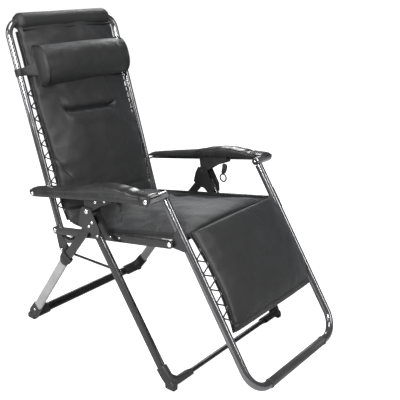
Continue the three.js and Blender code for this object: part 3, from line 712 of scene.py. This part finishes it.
def clamps():
    """A shell under the armrest, deepest round its pivot, with a lip along its upper edge."""
    inner, outer = 299.4, 328.6
    lip_reach = 1.4
    run, rise = ARM.of(CLAMP_PIVOT).y, ARM.of(CLAMP_PIVOT).z
    outline = [(-12, 6.5), (-12, rise + 6), (-10, rise - 8), (-2, rise - 11), (10, rise - 10),
               (40, rise * 0.78), (64, rise * 0.64), (96, rise * 0.46), (126, rise * 0.34), (128, 6.5)]
    rim = [(-13.5, 7.6), (-13.5, 1), (129.5, 1), (129.5, 7.6)]
    for name, side in SIDES:
        shell = slab([ARM.at(0, run + s, r) for s, r in outline], side * inner, side * outer, 3.0)
        lip = slab([ARM.at(0, run + s, r) for s, r in rim],
                   side * (inner - lip_reach), side * (outer + lip_reach), 1.6)
        piece(f"arm_clamp_moulding_{name}", joined([shell, lip]), "plastic", "clamps",
              (f"arm_clamp_{name}",))
        heads = [dome(side * outer, side, ARM.at(0, run + s, rise * share), 5.4, 3.0)
                 for s, share in ((46, 0.36), (92, 0.24))]
        piece(f"clamp_rivets_{name}", joined(heads), "steel", "clamps")


def levers():
    """A pressed blade on a stub, with a finger ring hanging from its lower end."""
    lever_x, stub_end = 292.5, 298.6
    ring_radius = 15
    openings = {o["name"]: o["box_m"] for o in frame["record"]["physics"]["openings"]}
    for name, side in SIDES:
        ring = side_centre(*(Vector(corner) for corner in openings[f"lever_ring_{name}"]))
        x = side * lever_x
        turn = [ring + X_AXIS * x * MM + Vector((0, y, z)) * MM for y, z in circle(ring_radius)]
        loop = swept(turn, rounded_box(6.4, 4.8, 2.2), X_AXIS, closed=True)
        blade_points = [LEVER_PIVOT + Vector((0, y * MM, z * MM)) for y, z in
                        ((-9, 11), (-10, -4), (-5, -18), (1, -27), (15, -27), (15, -16), (12, -4),
                         (11, 11), (1, 14))]
        blade = slab(smooth_outline(blade_points, 4), x - 2.4, x + 2.4, 1.2)
        stub = shank(x, side * stub_end, LEVER_PIVOT, 5.0)
        piece(f"lock_lever_moulding_{name}", joined([loop, blade, stub]), "plastic",
              f"lever_{name}", (f"lock_lever_{name}",))


# ---- Armrests and hinge rollers ------------------------------------------------------------------
ARM_X = 316.0
ARM_HALF = 29.0
ARM_TAIL, ARM_NOSE = -18.0, ARM_LENGTH + 15
ARM_HEIGHTS = [(-18, 13), (-4, 18), (60, 21), (140, 25), (225, 28), (270, 33), (322, 40),
               (380, 43), (430, 40), (480, 32), (516, 23), (548, 19.5), (572, 17), (587, 10)]
SKIRT_LOW = [(-18, -3), (-10, -9), (20, -9.5), (200, -8), (430, -7), (520, -9), (556, -14),
             (572, -15), (582, -10), (587, 0)]


def armrest_section(run, side):
    """A closed section (x, rise) in mm: crowned top, rounded shoulders and an outer skirt."""
    top = interpolate(ARM_HEIGHTS, run)
    skirt = interpolate(SKIRT_LOW, run)
    under = 8.4 if run < ARM_LENGTH - 26 else max(8.4, min(15.2, top - 2))
    half = ARM_HALF - 4.8 * bell(run - ARM_TAIL, 16) - 3.0 * max(0, (run - 500) / 90) ** 2
    crown = 3.2
    shoulder = min(8.0, top - under - 1) if top - under > 3 else 1.5
    points = [(-half + 1, under), (-half, under + 1), (-half, top - shoulder)]
    for i in range(1, 5):
        angle = math.pi / 2 * i / 4
        points.append((-half + shoulder * (1 - math.cos(angle)),
                       top - shoulder * (1 - math.sin(angle))))
    for share in (-0.6, -0.3, 0.0, 0.3, 0.6):
        points.append((share * (half - shoulder) / 0.75, top + crown * (1 - share * share)))
    for i in range(4, -1, -1):
        angle = math.pi / 2 * i / 4
        points.append((half - shoulder * (1 - math.cos(angle)),
                       top - shoulder * (1 - math.sin(angle))))
    band = 1.1
    groove_top, groove_low = under + (top - under) * 0.44, under + (top - under) * 0.2
    points += [(half, groove_top + 1.2), (half - band, groove_top), (half - band, groove_low),
               (half, groove_low - 1.2)]
    points += [(half, skirt + 1), (half - 1, skirt), (half - 3.6, skirt), (half - 4.4, skirt + 1),
               (half - 4.4, under)]
    return [(side * x, rise) for x, rise in points]


def armrests():
    """The moulded armrests with their ribs and rivets, the back pivots and the front rollers."""
    pin_inner, pin_outer = 249, 320
    for name, side in SIDES:
        runs = [ARM_TAIL + (ARM_NOSE - ARM_TAIL) * i / 120 for i in range(121)]
        verts = []
        for run in runs:
            verts += [ARM.at(side * ARM_X + x, run, rise) for x, rise in armrest_section(run, side)]
        piece(f"armrest_moulding_{name}", (verts, loft_faces(len(verts), len(runs))), "arm_top",
              "armrests", (f"armrest_{name}",), 50)
        ribs = []
        for i in range(7):
            run = 520 + 8 * i
            rise = interpolate(ARM_HEIGHTS, run) + 2.6
            ends = [ARM.at(side * ARM_X + x, run, rise) for x in (-19, 19)]
            ribs.append(swept(ends, oval(4.2, 2.6, 5), ARM.up))
        piece(f"armrest_ribs_{name}", joined(ribs), "plastic", "armrests")
        paint(frame["nodes"][f"arm_rail_{name}"], "plate")
        outer = side * (ARM_X + ARM_HALF - 0.3)
        heads = [dome(outer, side, centre, radius, 4.2)
                 for centre, radius in ((ARM.at(0, 2, 2), 8.0), (ARM.at(0, ARM_LENGTH - 2, 0), 8.4))]
        piece(f"armrest_rivets_{name}", joined(heads), "steel", "armrests")
        pivot = joined([shank(side * pin_inner, side * pin_outer, ARM_REAR),
                        dome(side * pin_inner, -side, ARM_REAR, 6.5, 3)])
        piece(f"back_pivot_head_{name}", pivot, "steel", "back_pins",
              (f"back_pivot_pin_{name}",))
        hinge_roller(name, side)


def hinge_roller(name, side):
    """The bright roller between armrest and footrest tube, with a black cap on its inner end."""
    radius = FOOT_TUBE
    inner, outer = 251, 340
    profile = [(inner, 0), (inner, radius - 2), (inner + 1.5, radius), (outer - 1.4, radius),
               (outer, radius - 1.4), (outer, 0)]
    form = turned([(side * x, r) for x, r in profile], ARM_FRONT, 40)
    piece(f"hinge_roller_{name}", form, "brushed", "footrest",
          (f"footrest_hinge_{name}",))
    disc = [(246.5, 0), (246.5, 10), (247.5, 12.6), (251.2, 12.6), (251.2, 0)]
    form = turned([(side * x, r) for x, r in disc], ARM_FRONT, 40)
    piece(f"roller_cap_{name}", form, "plastic", "footrest")
    piece(f"roller_rivet_{name}", dome(side * 246.6, -side, ARM_FRONT, 5.4, 2.8), "steel",
          "footrest")


# ---- Padded sling --------------------------------------------------------------------------------
PAD_HALF = 227.0
VOXEL = 0.0058
CLOTH_FRAMES = 20


def pad_form(name, stations):
    """A closed, rounded slab; each station is (centre, height direction, half thickness in mm)."""
    steps = 44
    verts = []
    for centre, level, half in stations:
        for i in range(steps):
            angle = 2 * math.pi * i / steps
            c, s = math.cos(angle), math.sin(angle)
            x = PAD_HALF * math.copysign(abs(c) ** 0.5, c)
            rise = half * math.copysign(abs(s) ** 0.62, s)
            verts.append(centre + X_AXIS * x * MM + level * rise * MM)
    return mesh_object(name, verts, loft_faces(len(verts), len(stations)))


def inflate(made, sewn, pressure=4.0, cap=0.024):
    """Cloth simulation: pressure fills the closed form between its sewn borders.

    sewn tells whether a point belongs to a border; those stay put and all travel is capped."""
    voxel_remesh(made, VOXEL)
    apply_modifiers(made)
    rest = [v.co.copy() for v in made.data.vertices]
    border = made.vertex_groups.new(name="Sewn")
    border.add([i for i, place in enumerate(rest) if sewn(place)], 1.0, "REPLACE")
    cloth = made.modifiers.new("Fabric", "CLOTH")
    options = cloth.settings
    options.quality = 4
    options.mass = 0.25
    options.tension_stiffness = 10
    options.compression_stiffness = 10
    options.shear_stiffness = 3
    options.bending_stiffness = 0.3
    options.vertex_group_mass = "Sewn"
    options.use_pressure = True
    options.uniform_pressure_force = pressure
    options.effector_weights.gravity = 0
    cloth.point_cache.frame_start = 1
    cloth.point_cache.frame_end = CLOTH_FRAMES
    scene = bpy.context.scene
    for number in range(1, CLOTH_FRAMES + 1):
        scene.frame_set(number)
    apply_modifiers(made)
    scene.frame_set(1)
    for vertex, start in zip(made.data.vertices, rest):
        travel = vertex.co - start
        if travel.length > cap:
            vertex.co = start + travel.normalized() * cap
    fine = made.modifiers.new("Fine", "SUBSURF")
    fine.levels = fine.render_levels = 1
    return apply_modifiers(made)


def sewn_edges(line, run_from, run_to, margin=7.0):
    """The border of a pad: both long edges and both ends."""
    def test(point):
        place = line.of(point)
        if abs(place.x) > PAD_HALF - margin:
            return True
        return not run_from + margin < place.y < run_to - margin
    return test


def shape_surface(made, line, offset):
    """Moves each point along the line's height by offset(x, run, rise) in mm."""
    for vertex in made.data.vertices:
        place = line.of(vertex.co)
        vertex.co += line.up * offset(place.x, place.y, place.z) * MM


def crown(x, run, run_from, run_to):
    """0 at a pad's borders, 1 over its middle: the fullness of the filling."""
    across = max(0.0, 1 - (abs(x) / PAD_HALF) ** 2.6)
    along = max(0.0, min(1.0, (run - run_from) / 70, (run_to - run) / 70))
    return across * math.sin(along * math.pi / 2)


def ripple(point, scale, seed):
    return noise.noise(Vector((point[0] / scale, point[1] / scale, seed)))


# The back pad narrows to a sewn tuck below the lumbar swell.
TUCK_RUN = 409.0
PIPING_RUN = TOP_RUN - 36
BACK_PAD_RUNS = (16.0, PIPING_RUN + 16)


def tuck_run(x):
    """The tuck's distance up the back: nearly level, turned up a little at both ends."""
    return TUCK_RUN - 0.045 * x + 12 * max(0.0, (abs(x + 12) - 84) / 40) ** 2


def back_rise(run):
    """Height of the back pad's middle layer over the tubes."""
    return 8 + 7 * bell(run - 240, 150) + 12 * bell(run - BACK_PAD_RUNS[0], 40)


def back_pad():
    low, high = BACK_PAD_RUNS
    stations = []
    for i in range(25):
        run = low + (high - low) * i / 24
        half = 25 + 9 * bell(run - 240, 130) + 4 * bell(run - 560, 110)
        if i == 24:
            half = 13
        stations.append((BACK.at(0, run, back_rise(run)), BACK.up, half))
    made = pad_form("back_cushion", stations)
    inflate(made, sewn_edges(BACK, low, high))

    def folds(x, run, rise):
        front = max(0.0, min(1.0, (rise - 8) / 14))
        line = tuck_run(x)
        fade = max(0.0, min(1.0, (132 - abs(x + 12)) / 26))
        offset = -24 * bell(run - line, 10) * fade
        offset += 6 * bell(run - line - 30, 20) * fade + 7 * bell(run - line + 32, 22) * fade
        puckers = math.sin(x / 8.5 + 1.6 * ripple((x, run), 60, 3.1))
        offset += 1.2 * puckers * bell(run - line, 22) * fade
        offset += 13 * crown(x, run, low, PIPING_RUN) + 9 * ripple((x, run * 0.6), 120, 5.2)
        offset += 3 * ripple((x, run), 48, 2.6) + 0.8 * ripple((x, run), 26, 9.4)
        offset += 8 * bell(x + 140, 60) * bell(run - 260, 90)
        edge = max(0.0, (abs(x) - 165) / 60)
        offset += edge * 1.4 * math.sin(run / 8.6 + 0.9 * ripple((x, run), 50, 1.7))
        crease = bell(run - 215 - (abs(x) - 205) * 1.8, 9) * bell(abs(x) - 208, 20)
        wrinkle = bell(run - 64 - 16 * math.sin(x / 80), 8) * (0.5 + abs(x) / PAD_HALF)
        offset -= 9 * crease
        offset -= 4.5 * wrinkle
        return offset * front

    shape_surface(made, BACK, folds)
    soft_piece(made, "back_cloth", "back", "back_pad")
    edge_piping("back", BACK, 22, PIPING_RUN, back_rise, "back")


def soft_piece(made, look, body, node):
    """A filled piece that stands for a node: smooth shaded, painted and attached to its body, with a mesh of its
    own.
    """
    made.data.shade_smooth()
    paint(made, look)
    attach(made, body)
    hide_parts(node)
    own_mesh(made)


def edge_piping(kind, line, run_from, run_to, rise, body):
    """Corded edge down each side of a pad, with a sewn tape behind it for the lacing eyelets."""
    for name, side in SIDES:
        cord = []
        web = []
        for i in range(61):
            run = run_from + (run_to - run_from) * i / 60
            wave = 0.8 * math.sin(run / 15.3)
            cord.append(line.at(side * (PAD_HALF - 1 + wave), run, rise(run)))
            web.append(line.at(side * (PAD_HALF + 1.5 + wave * 0.5), run, rise(run) - 6))
        piece(f"{kind}_piping_{name}", swept(cord, circle(3.4, 12), line.up), "binding", body)
        piece(f"{kind}_eyelet_tape_{name}", swept(web, oval(13, 2.6, 4), line.up), "binding", body)


# Height of the seat cushion's middle layer along the seat: high at the back, sunk, then a swell.
SEAT_SAG = ((20, 18), (90, 6), (190, -8), (300, -5), (470, 3), (572, 4))


def seat_path(samples=30):
    """Stations along the seat and over the knee: a straight run, then an arc about the knee."""
    stations = []
    swing = SEAT.up.angle(FOOT.up)
    arc = 7
    for i in range(samples + 1):
        run = 20 + (ARM_LENGTH - 20) * i / samples
        half = 26.0 if i else 22.0
        stations.append((SEAT.at(0, run, interpolate(SEAT_SAG, run)), SEAT.up, half))
    for i in range(1, arc + 1):
        angle = swing * i / arc
        level = (SEAT.up * math.cos(angle) + SEAT.along * math.sin(angle)).normalized()
        stations.append((KNEE + level * (4 + 6 * i / arc) * MM, level, 26.0 - 3 * i / arc))
    return stations


def seat_pad():
    made = pad_form("seat_cushion", seat_path())
    knee_end = KNEE + FOOT.up * 10 * MM

    def sewn(point):
        place = SEAT.of(point)
        if abs(place.x) > PAD_HALF - 7 or place.y < 27:
            return True
        return place.y > ARM_LENGTH - 4 and (point - knee_end).dot(FOOT.along) > -0.006

    inflate(made, sewn)

    def folds(x, run, rise):
        front = max(0.0, min(1.0, (rise - 2) / 12))
        offset = 8 * crown(x, run, -60, 700) + 6 * ripple((x * 0.8, run), 120, 2.3)
        offset += 2.5 * ripple((x, run), 48, 4.6) + 0.9 * ripple((x, run), 24, 6.4)
        edge = max(0.0, (abs(x) - 170) / 60)
        offset += edge * 1.4 * math.sin(run / 9.4 + ripple((x, run), 50, 4.7))
        offset -= 6 * bell(x, 150) * bell(run - 230, 140)
        return offset * front

    shape_surface(made, SEAT, folds)
    soft_piece(made, "seat_cloth", "seat", "seat_pad")
    for name, side in SIDES:
        cord = [centre + X_AXIS * side * (PAD_HALF - 1) * MM for centre, _, _ in seat_path(60)]
        piece(f"seat_piping_{name}", swept(cord, circle(3.4, 12), X_AXIS), "binding", "seat")


LEG_TOP_RUN, LEG_HEM_RUN = KNEE_RUN - 5, 489.0


def leg_rise(run):
    """Height of the leg pad's middle layer: level with the knee, swelling forward, then the hem."""
    share = (run - LEG_TOP_RUN) / (LEG_HEM_RUN - LEG_TOP_RUN)
    return 10 - 6 * share + 20 * max(0.0, math.sin(math.pi * share)) ** 0.8


def leg_pad():
    stations = []
    for i in range(21):
        share = i / 20
        run = LEG_TOP_RUN + (LEG_HEM_RUN - LEG_TOP_RUN) * share
        half = 24 - 2 * share
        if i == 0:
            half = 18
        if i == 20:
            half = 10
        stations.append((FOOT.at(0, run, leg_rise(run)), FOOT.up, half))
    made = pad_form("leg_cushion", stations)
    inflate(made, sewn_edges(FOOT, LEG_TOP_RUN, LEG_HEM_RUN), cap=0.02)

    def folds(x, run, rise):
        front = max(0.0, min(1.0, (rise - 4) / 12))
        offset = 14 * crown(x, run, LEG_TOP_RUN - 60, LEG_HEM_RUN)
        offset += 7 * ripple((x * 0.8, run), 120, 8.3) + 2 * ripple((x, run), 48, 7.6)
        offset += 0.8 * ripple((x, run), 26, 3.4)
        edge = max(0.0, (abs(x) - 175) / 55)
        offset += edge * 0.7 * math.sin(run / 8.0 + ripple((x, run), 45, 6.7))
        offset -= 4.5 * bell(run - (LEG_HEM_RUN - 24), 4.5)
        return offset * front

    shape_surface(made, FOOT, folds)
    soft_piece(made, "leg_cloth", "footrest", "leg_pad")
    edge_piping("leg", FOOT, LEG_TOP_RUN + 4, LEG_HEM_RUN - 2, leg_rise, "footrest")


def top_roll():
    """The cloth that is sewn back over the top bar, full and a little lumpy, piped along its seam."""
    wide, high = 33, 31
    reach = TUBE_X - 40
    count = 72
    stations = [BACK.at(-reach + 2 * reach * i / count, TOP_RUN, 2) for i in range(count + 1)]

    def section(i):
        x = -reach + 2 * reach * i / count
        end = 1 - 0.3 * bell(abs(x) - reach, 9)
        points = []
        for k in range(40):
            angle = 2 * math.pi * k / 40
            lump = 1 + 0.03 * ripple((x * 0.5, 40 * angle), 60, 2.2)
            points.append((wide * end * lump * math.cos(angle) + 2,
                           high * end * lump * math.sin(angle)))
        return points

    made = piece("top_roll", swept(stations, section, BACK.up), "back_cloth", "back",
                 ("top_sleeve",), 70)
    points = [BACK.at(x, PIPING_RUN + 1.5 * math.sin(x / 60), 27) for x in
              (-216 + 432 * i / 60 for i in range(61))]
    piece("top_piping", swept(points, circle(3.6, 12), BACK.up), "binding", "back")


PILLOW_MID = 596.0
PILLOW_HALF = 204.0


def pillow():
    """A D-shaped headrest, full at the front and flat against the back, piped round its ends."""
    half = PILLOW_HALF
    steps = 40
    count = 26
    rings = [(-half + 2 * half * i / count, 0.93) for i in range(count + 1)]
    rings = [(-half - 12, 0.3), (-half - 8, 0.68), *rings, (half + 8, 0.68), (half + 12, 0.3)]
    verts = []
    for x, scale in rings:
        verts += [pillow_point(x, 2 * math.pi * k / steps, scale) for k in range(steps)]
    made = mesh_object("headrest_pillow", verts, loft_faces(len(verts), len(rings)))
    inflate(made, lambda point: abs(point.x) > (half - 4) * MM, cap=0.016)

    def folds(x, run, rise):
        front = max(0.0, min(1.0, (rise - 30) / 20))
        gather = max(0.0, (abs(x) - 130) / 75)
        offset = 9 * max(0.0, 1 - (abs(x) / 200) ** 3) + 5 * ripple((x * 0.6, run), 90, 4.4)
        offset += 1.6 * ripple((x, run), 40, 1.4) + 0.8 * ripple((x, run), 20, 7.7)
        offset += gather * 1.5 * math.sin(run / 6.5 + ripple((x, run), 40, 3.3))
        return offset * front

    shape_surface(made, BACK, folds)
    soft_piece(made, "pillow_cloth", "headrest", "pillow")
    for name, side in SIDES:
        ring = [pillow_point(side * (half - 1), 2 * math.pi * k / 60, 0.97) for k in range(60)]
        piece(f"pillow_piping_{name}", swept(ring, circle(2.6, 10), X_AXIS, closed=True),
              "binding", "headrest")
        pillow_straps(name, side)


def pillow_point(x, angle, scale):
    """A point of the D-shaped section: a flat back at the pad and a full, round front."""
    half_length, front, back = 76, 66, 10
    run = half_length * math.copysign(abs(math.cos(angle)) ** 0.8, math.cos(angle))
    depth = front if math.sin(angle) > 0 else back
    rise = depth * math.copysign(abs(math.sin(angle)) ** 0.85, math.sin(angle))
    return BACK.at(x, PILLOW_MID + run * scale, 36 + 26 * (1 - scale) + rise * scale)


def pillow_straps(name, side):
    """An elastic web from each end of the pillow, gathered into one loop round the back tube."""
    run = PILLOW_MID - 10
    wrap = BACK_TUBE + 1.6
    stations = [(PILLOW_HALF - 3, 50.0, 62.0), (PILLOW_HALF + 18, 36.0, 44.0)]
    for i in range(17):
        angle = math.radians(110 - 300 * i / 16)
        stations.append((TUBE_X + wrap * math.cos(angle), wrap * math.sin(angle), 27.0))
    points = [BACK.at(side * x, run, rise) for x, rise, _ in stations]

    def section(i):
        return [(v, u) for u, v in oval(stations[i][2], 2.0, 4)]

    piece(f"pillow_strap_{name}", swept(points, section, BACK.along), "binding", "headrest",
          sharp=60)


# ---- Lacing --------------------------------------------------------------------------------------
def lacing(kind, name, side, line, run_from, run_to, turns, tube_radius, body, edge):
    """One elastic cord laced from eyelet to eyelet through the inner wall of the side tube."""
    cord_radius = 2.7
    eyelet_x = PAD_HALF + 1
    inner_x = TUBE_X - tube_radius + 1.0
    pitch = (run_to - run_from) / turns
    knots = []
    for turn in range(turns + 1):
        start = run_from + pitch * turn
        low = edge(start) - 4
        knots += [(eyelet_x - 5, start - 3, low), (eyelet_x - 7, start, low + 3),
                  (eyelet_x - 5, start + 3, low)]
        if turn < turns:
            knots += [(inner_x - 3, start + pitch / 2 - 4, 5.5), (inner_x, start + pitch / 2, 5.0),
                      (inner_x - 3, start + pitch / 2 + 4, 5.5)]
    points = [line.at(side * x, run, rise) for x, run, rise in knots]
    route = smooth_route(points, 3)
    piece(f"{kind}_cord_{name}", swept(route, circle(cord_radius, 8), twist_free(route)), "cord",
          body, (f"{kind}_lacing_{name}",), 80)
    rings = []
    for turn in range(turns + 1):
        run = run_from + pitch * turn
        centre = line.at(side * (eyelet_x - 2), run, edge(run) - 3.5)
        loop = [centre + (X_AXIS * u + line.along * v) * MM for u, v in circle(4.4, 16)]
        rings.append(swept(loop, circle(1.3, 8), line.up, closed=True))
    piece(f"{kind}_eyelets_{name}", joined(rings), "steel", body)


def smooth_route(points, steps):
    """An open route through points, rounded by a Catmull-Rom curve."""
    last = len(points) - 1
    route = []
    for i in range(last):
        route += catmull_span(points[max(i - 1, 0)], points[i], points[i + 1],
                              points[min(i + 2, last)], steps)
    return [*route, points[-1]]


def twist_free(route):
    """Normals carried along a route with as little turning as possible."""
    normals = []
    previous = Vector((0.31, 0.52, 0.79)).normalized()
    for i in range(len(route)):
        tangent = (route[min(i + 1, len(route) - 1)] - route[max(i - 1, 0)]).normalized()
        previous = (previous - tangent * previous.dot(tangent)).normalized()
        normals.append(previous)
    return lambda i: normals[i]


# ---- Scene ---------------------------------------------------------------------------------------
def area_light(name, place, aim, size, power, color=(1, 1, 1)):
    data = bpy.data.lights.new(name, "AREA")
    data.shape = "RECTANGLE"
    data.size, data.size_y = size
    data.energy = power
    data.color = color
    light = bpy.data.objects.new(name, data)
    light.location = place
    light.rotation_euler = (Vector(aim) - Vector(place)).to_track_quat("-Z", "Y").to_euler()
    bpy.context.scene.collection.objects.link(light)


def studio():
    scene = bpy.context.scene
    scene.view_settings.view_transform = "Standard"
    world = bpy.data.worlds.new("Studio")
    scene.world = world
    world.use_nodes = True
    tree = world.node_tree
    background = tree.nodes["Background"]
    background.inputs["Color"].default_value = (1, 1, 1, 1)
    paths = tree.nodes.new("ShaderNodeLightPath")
    level = tree.nodes.new("ShaderNodeMath")
    level.operation = "MULTIPLY_ADD"
    level.inputs[1].default_value = 0.90
    level.inputs[2].default_value = 0.15
    tree.links.new(paths.outputs["Is Camera Ray"], level.inputs[0])
    tree.links.new(level.outputs[0], background.inputs["Strength"])

    mesh = bpy.data.meshes.new("studio_floor")
    reach = 14.0
    mesh.from_pydata([(-reach, -reach, 0), (reach, -reach, 0), (reach, reach, 0), (-reach, reach, 0)],
                     [], [(0, 1, 2, 3)])
    floor = bpy.data.objects.new("studio_floor", mesh)
    scene.collection.objects.link(floor)
    floor.location.z = -0.0006
    shader = Shader("Studio_floor", 0.75, 0.0, Specular_IOR_Level=0.2)
    shader.link(shader.ramp(shader.noise(1.3, 2.0), [(0.2, 0.42), (0.8, 0.46)]),
                "Base Color")
    shader.main.inputs["Emission Color"].default_value = (1, 1, 1, 1)
    seen = shader.node("ShaderNodeLightPath").outputs["Is Camera Ray"]
    shader.link(shader.math("MULTIPLY", seen, 0.98), "Emission Strength")
    mesh.materials.append(shader.material)

    area_light("Key", (-2.5, -1.3, 2.1), (0, 0.1, 0.6), (0.7, 0.7), 235)
    area_light("Overhead", (-0.6, -0.2, 3.0), (0, 0, 0.5), (1.2, 1.2), 60)
    area_light("Strip_left", (-2.6, 1.6, 1.6), (0, 0.1, 0.6), (0.3, 2.2), 45)
    area_light("Front", (0.9, -3.2, 2.0), (0, 0, 0.4), (0.5, 1.6), 45)
    area_light("Rim", (2.4, 1.8, 2.6), (0, 0, 0.6), (0.6, 1.8), 60)


def camera():
    """The chair seen from its right and in front, a little from above."""
    azimuth, elevation = math.radians(-51.2032), math.radians(18.9560)
    place = Vector((-1.76373, -1.55131, 1.32983))
    away = Vector((math.sin(azimuth) * math.cos(elevation), -math.cos(azimuth) * math.cos(elevation),
                   math.sin(elevation)))
    data = bpy.data.cameras.new("Camera")
    data.sensor_width = 36.0
    data.lens = 60.6086
    made = bpy.data.objects.new("Camera", data)
    made.location = place
    made.rotation_euler = (-away).to_track_quat("-Z", "Y").to_euler()
    bpy.context.scene.collection.objects.link(made)
    bpy.context.scene.camera = made


camera()
studio()
back_frame()
footrest_frame()
seat_rails()
legs()
brace_links()
brackets()
clamps()
levers()
armrests()
for plate_name, _ in SIDES:
    paint(frame["nodes"][f"tail_plate_{plate_name}"], "plate")
    paint(frame["nodes"][f"knee_plate_{plate_name}"], "plate")
back_pad()
seat_pad()
leg_pad()
top_roll()
pillow()
for side_name, side_sign in SIDES:
    lacing("back", side_name, side_sign, BACK, 60, 530, 10, BACK_TUBE, "back", back_rise)
    lacing("leg", side_name, side_sign, FOOT, 204, 454, 5, FOOT_TUBE, "footrest", leg_rise)
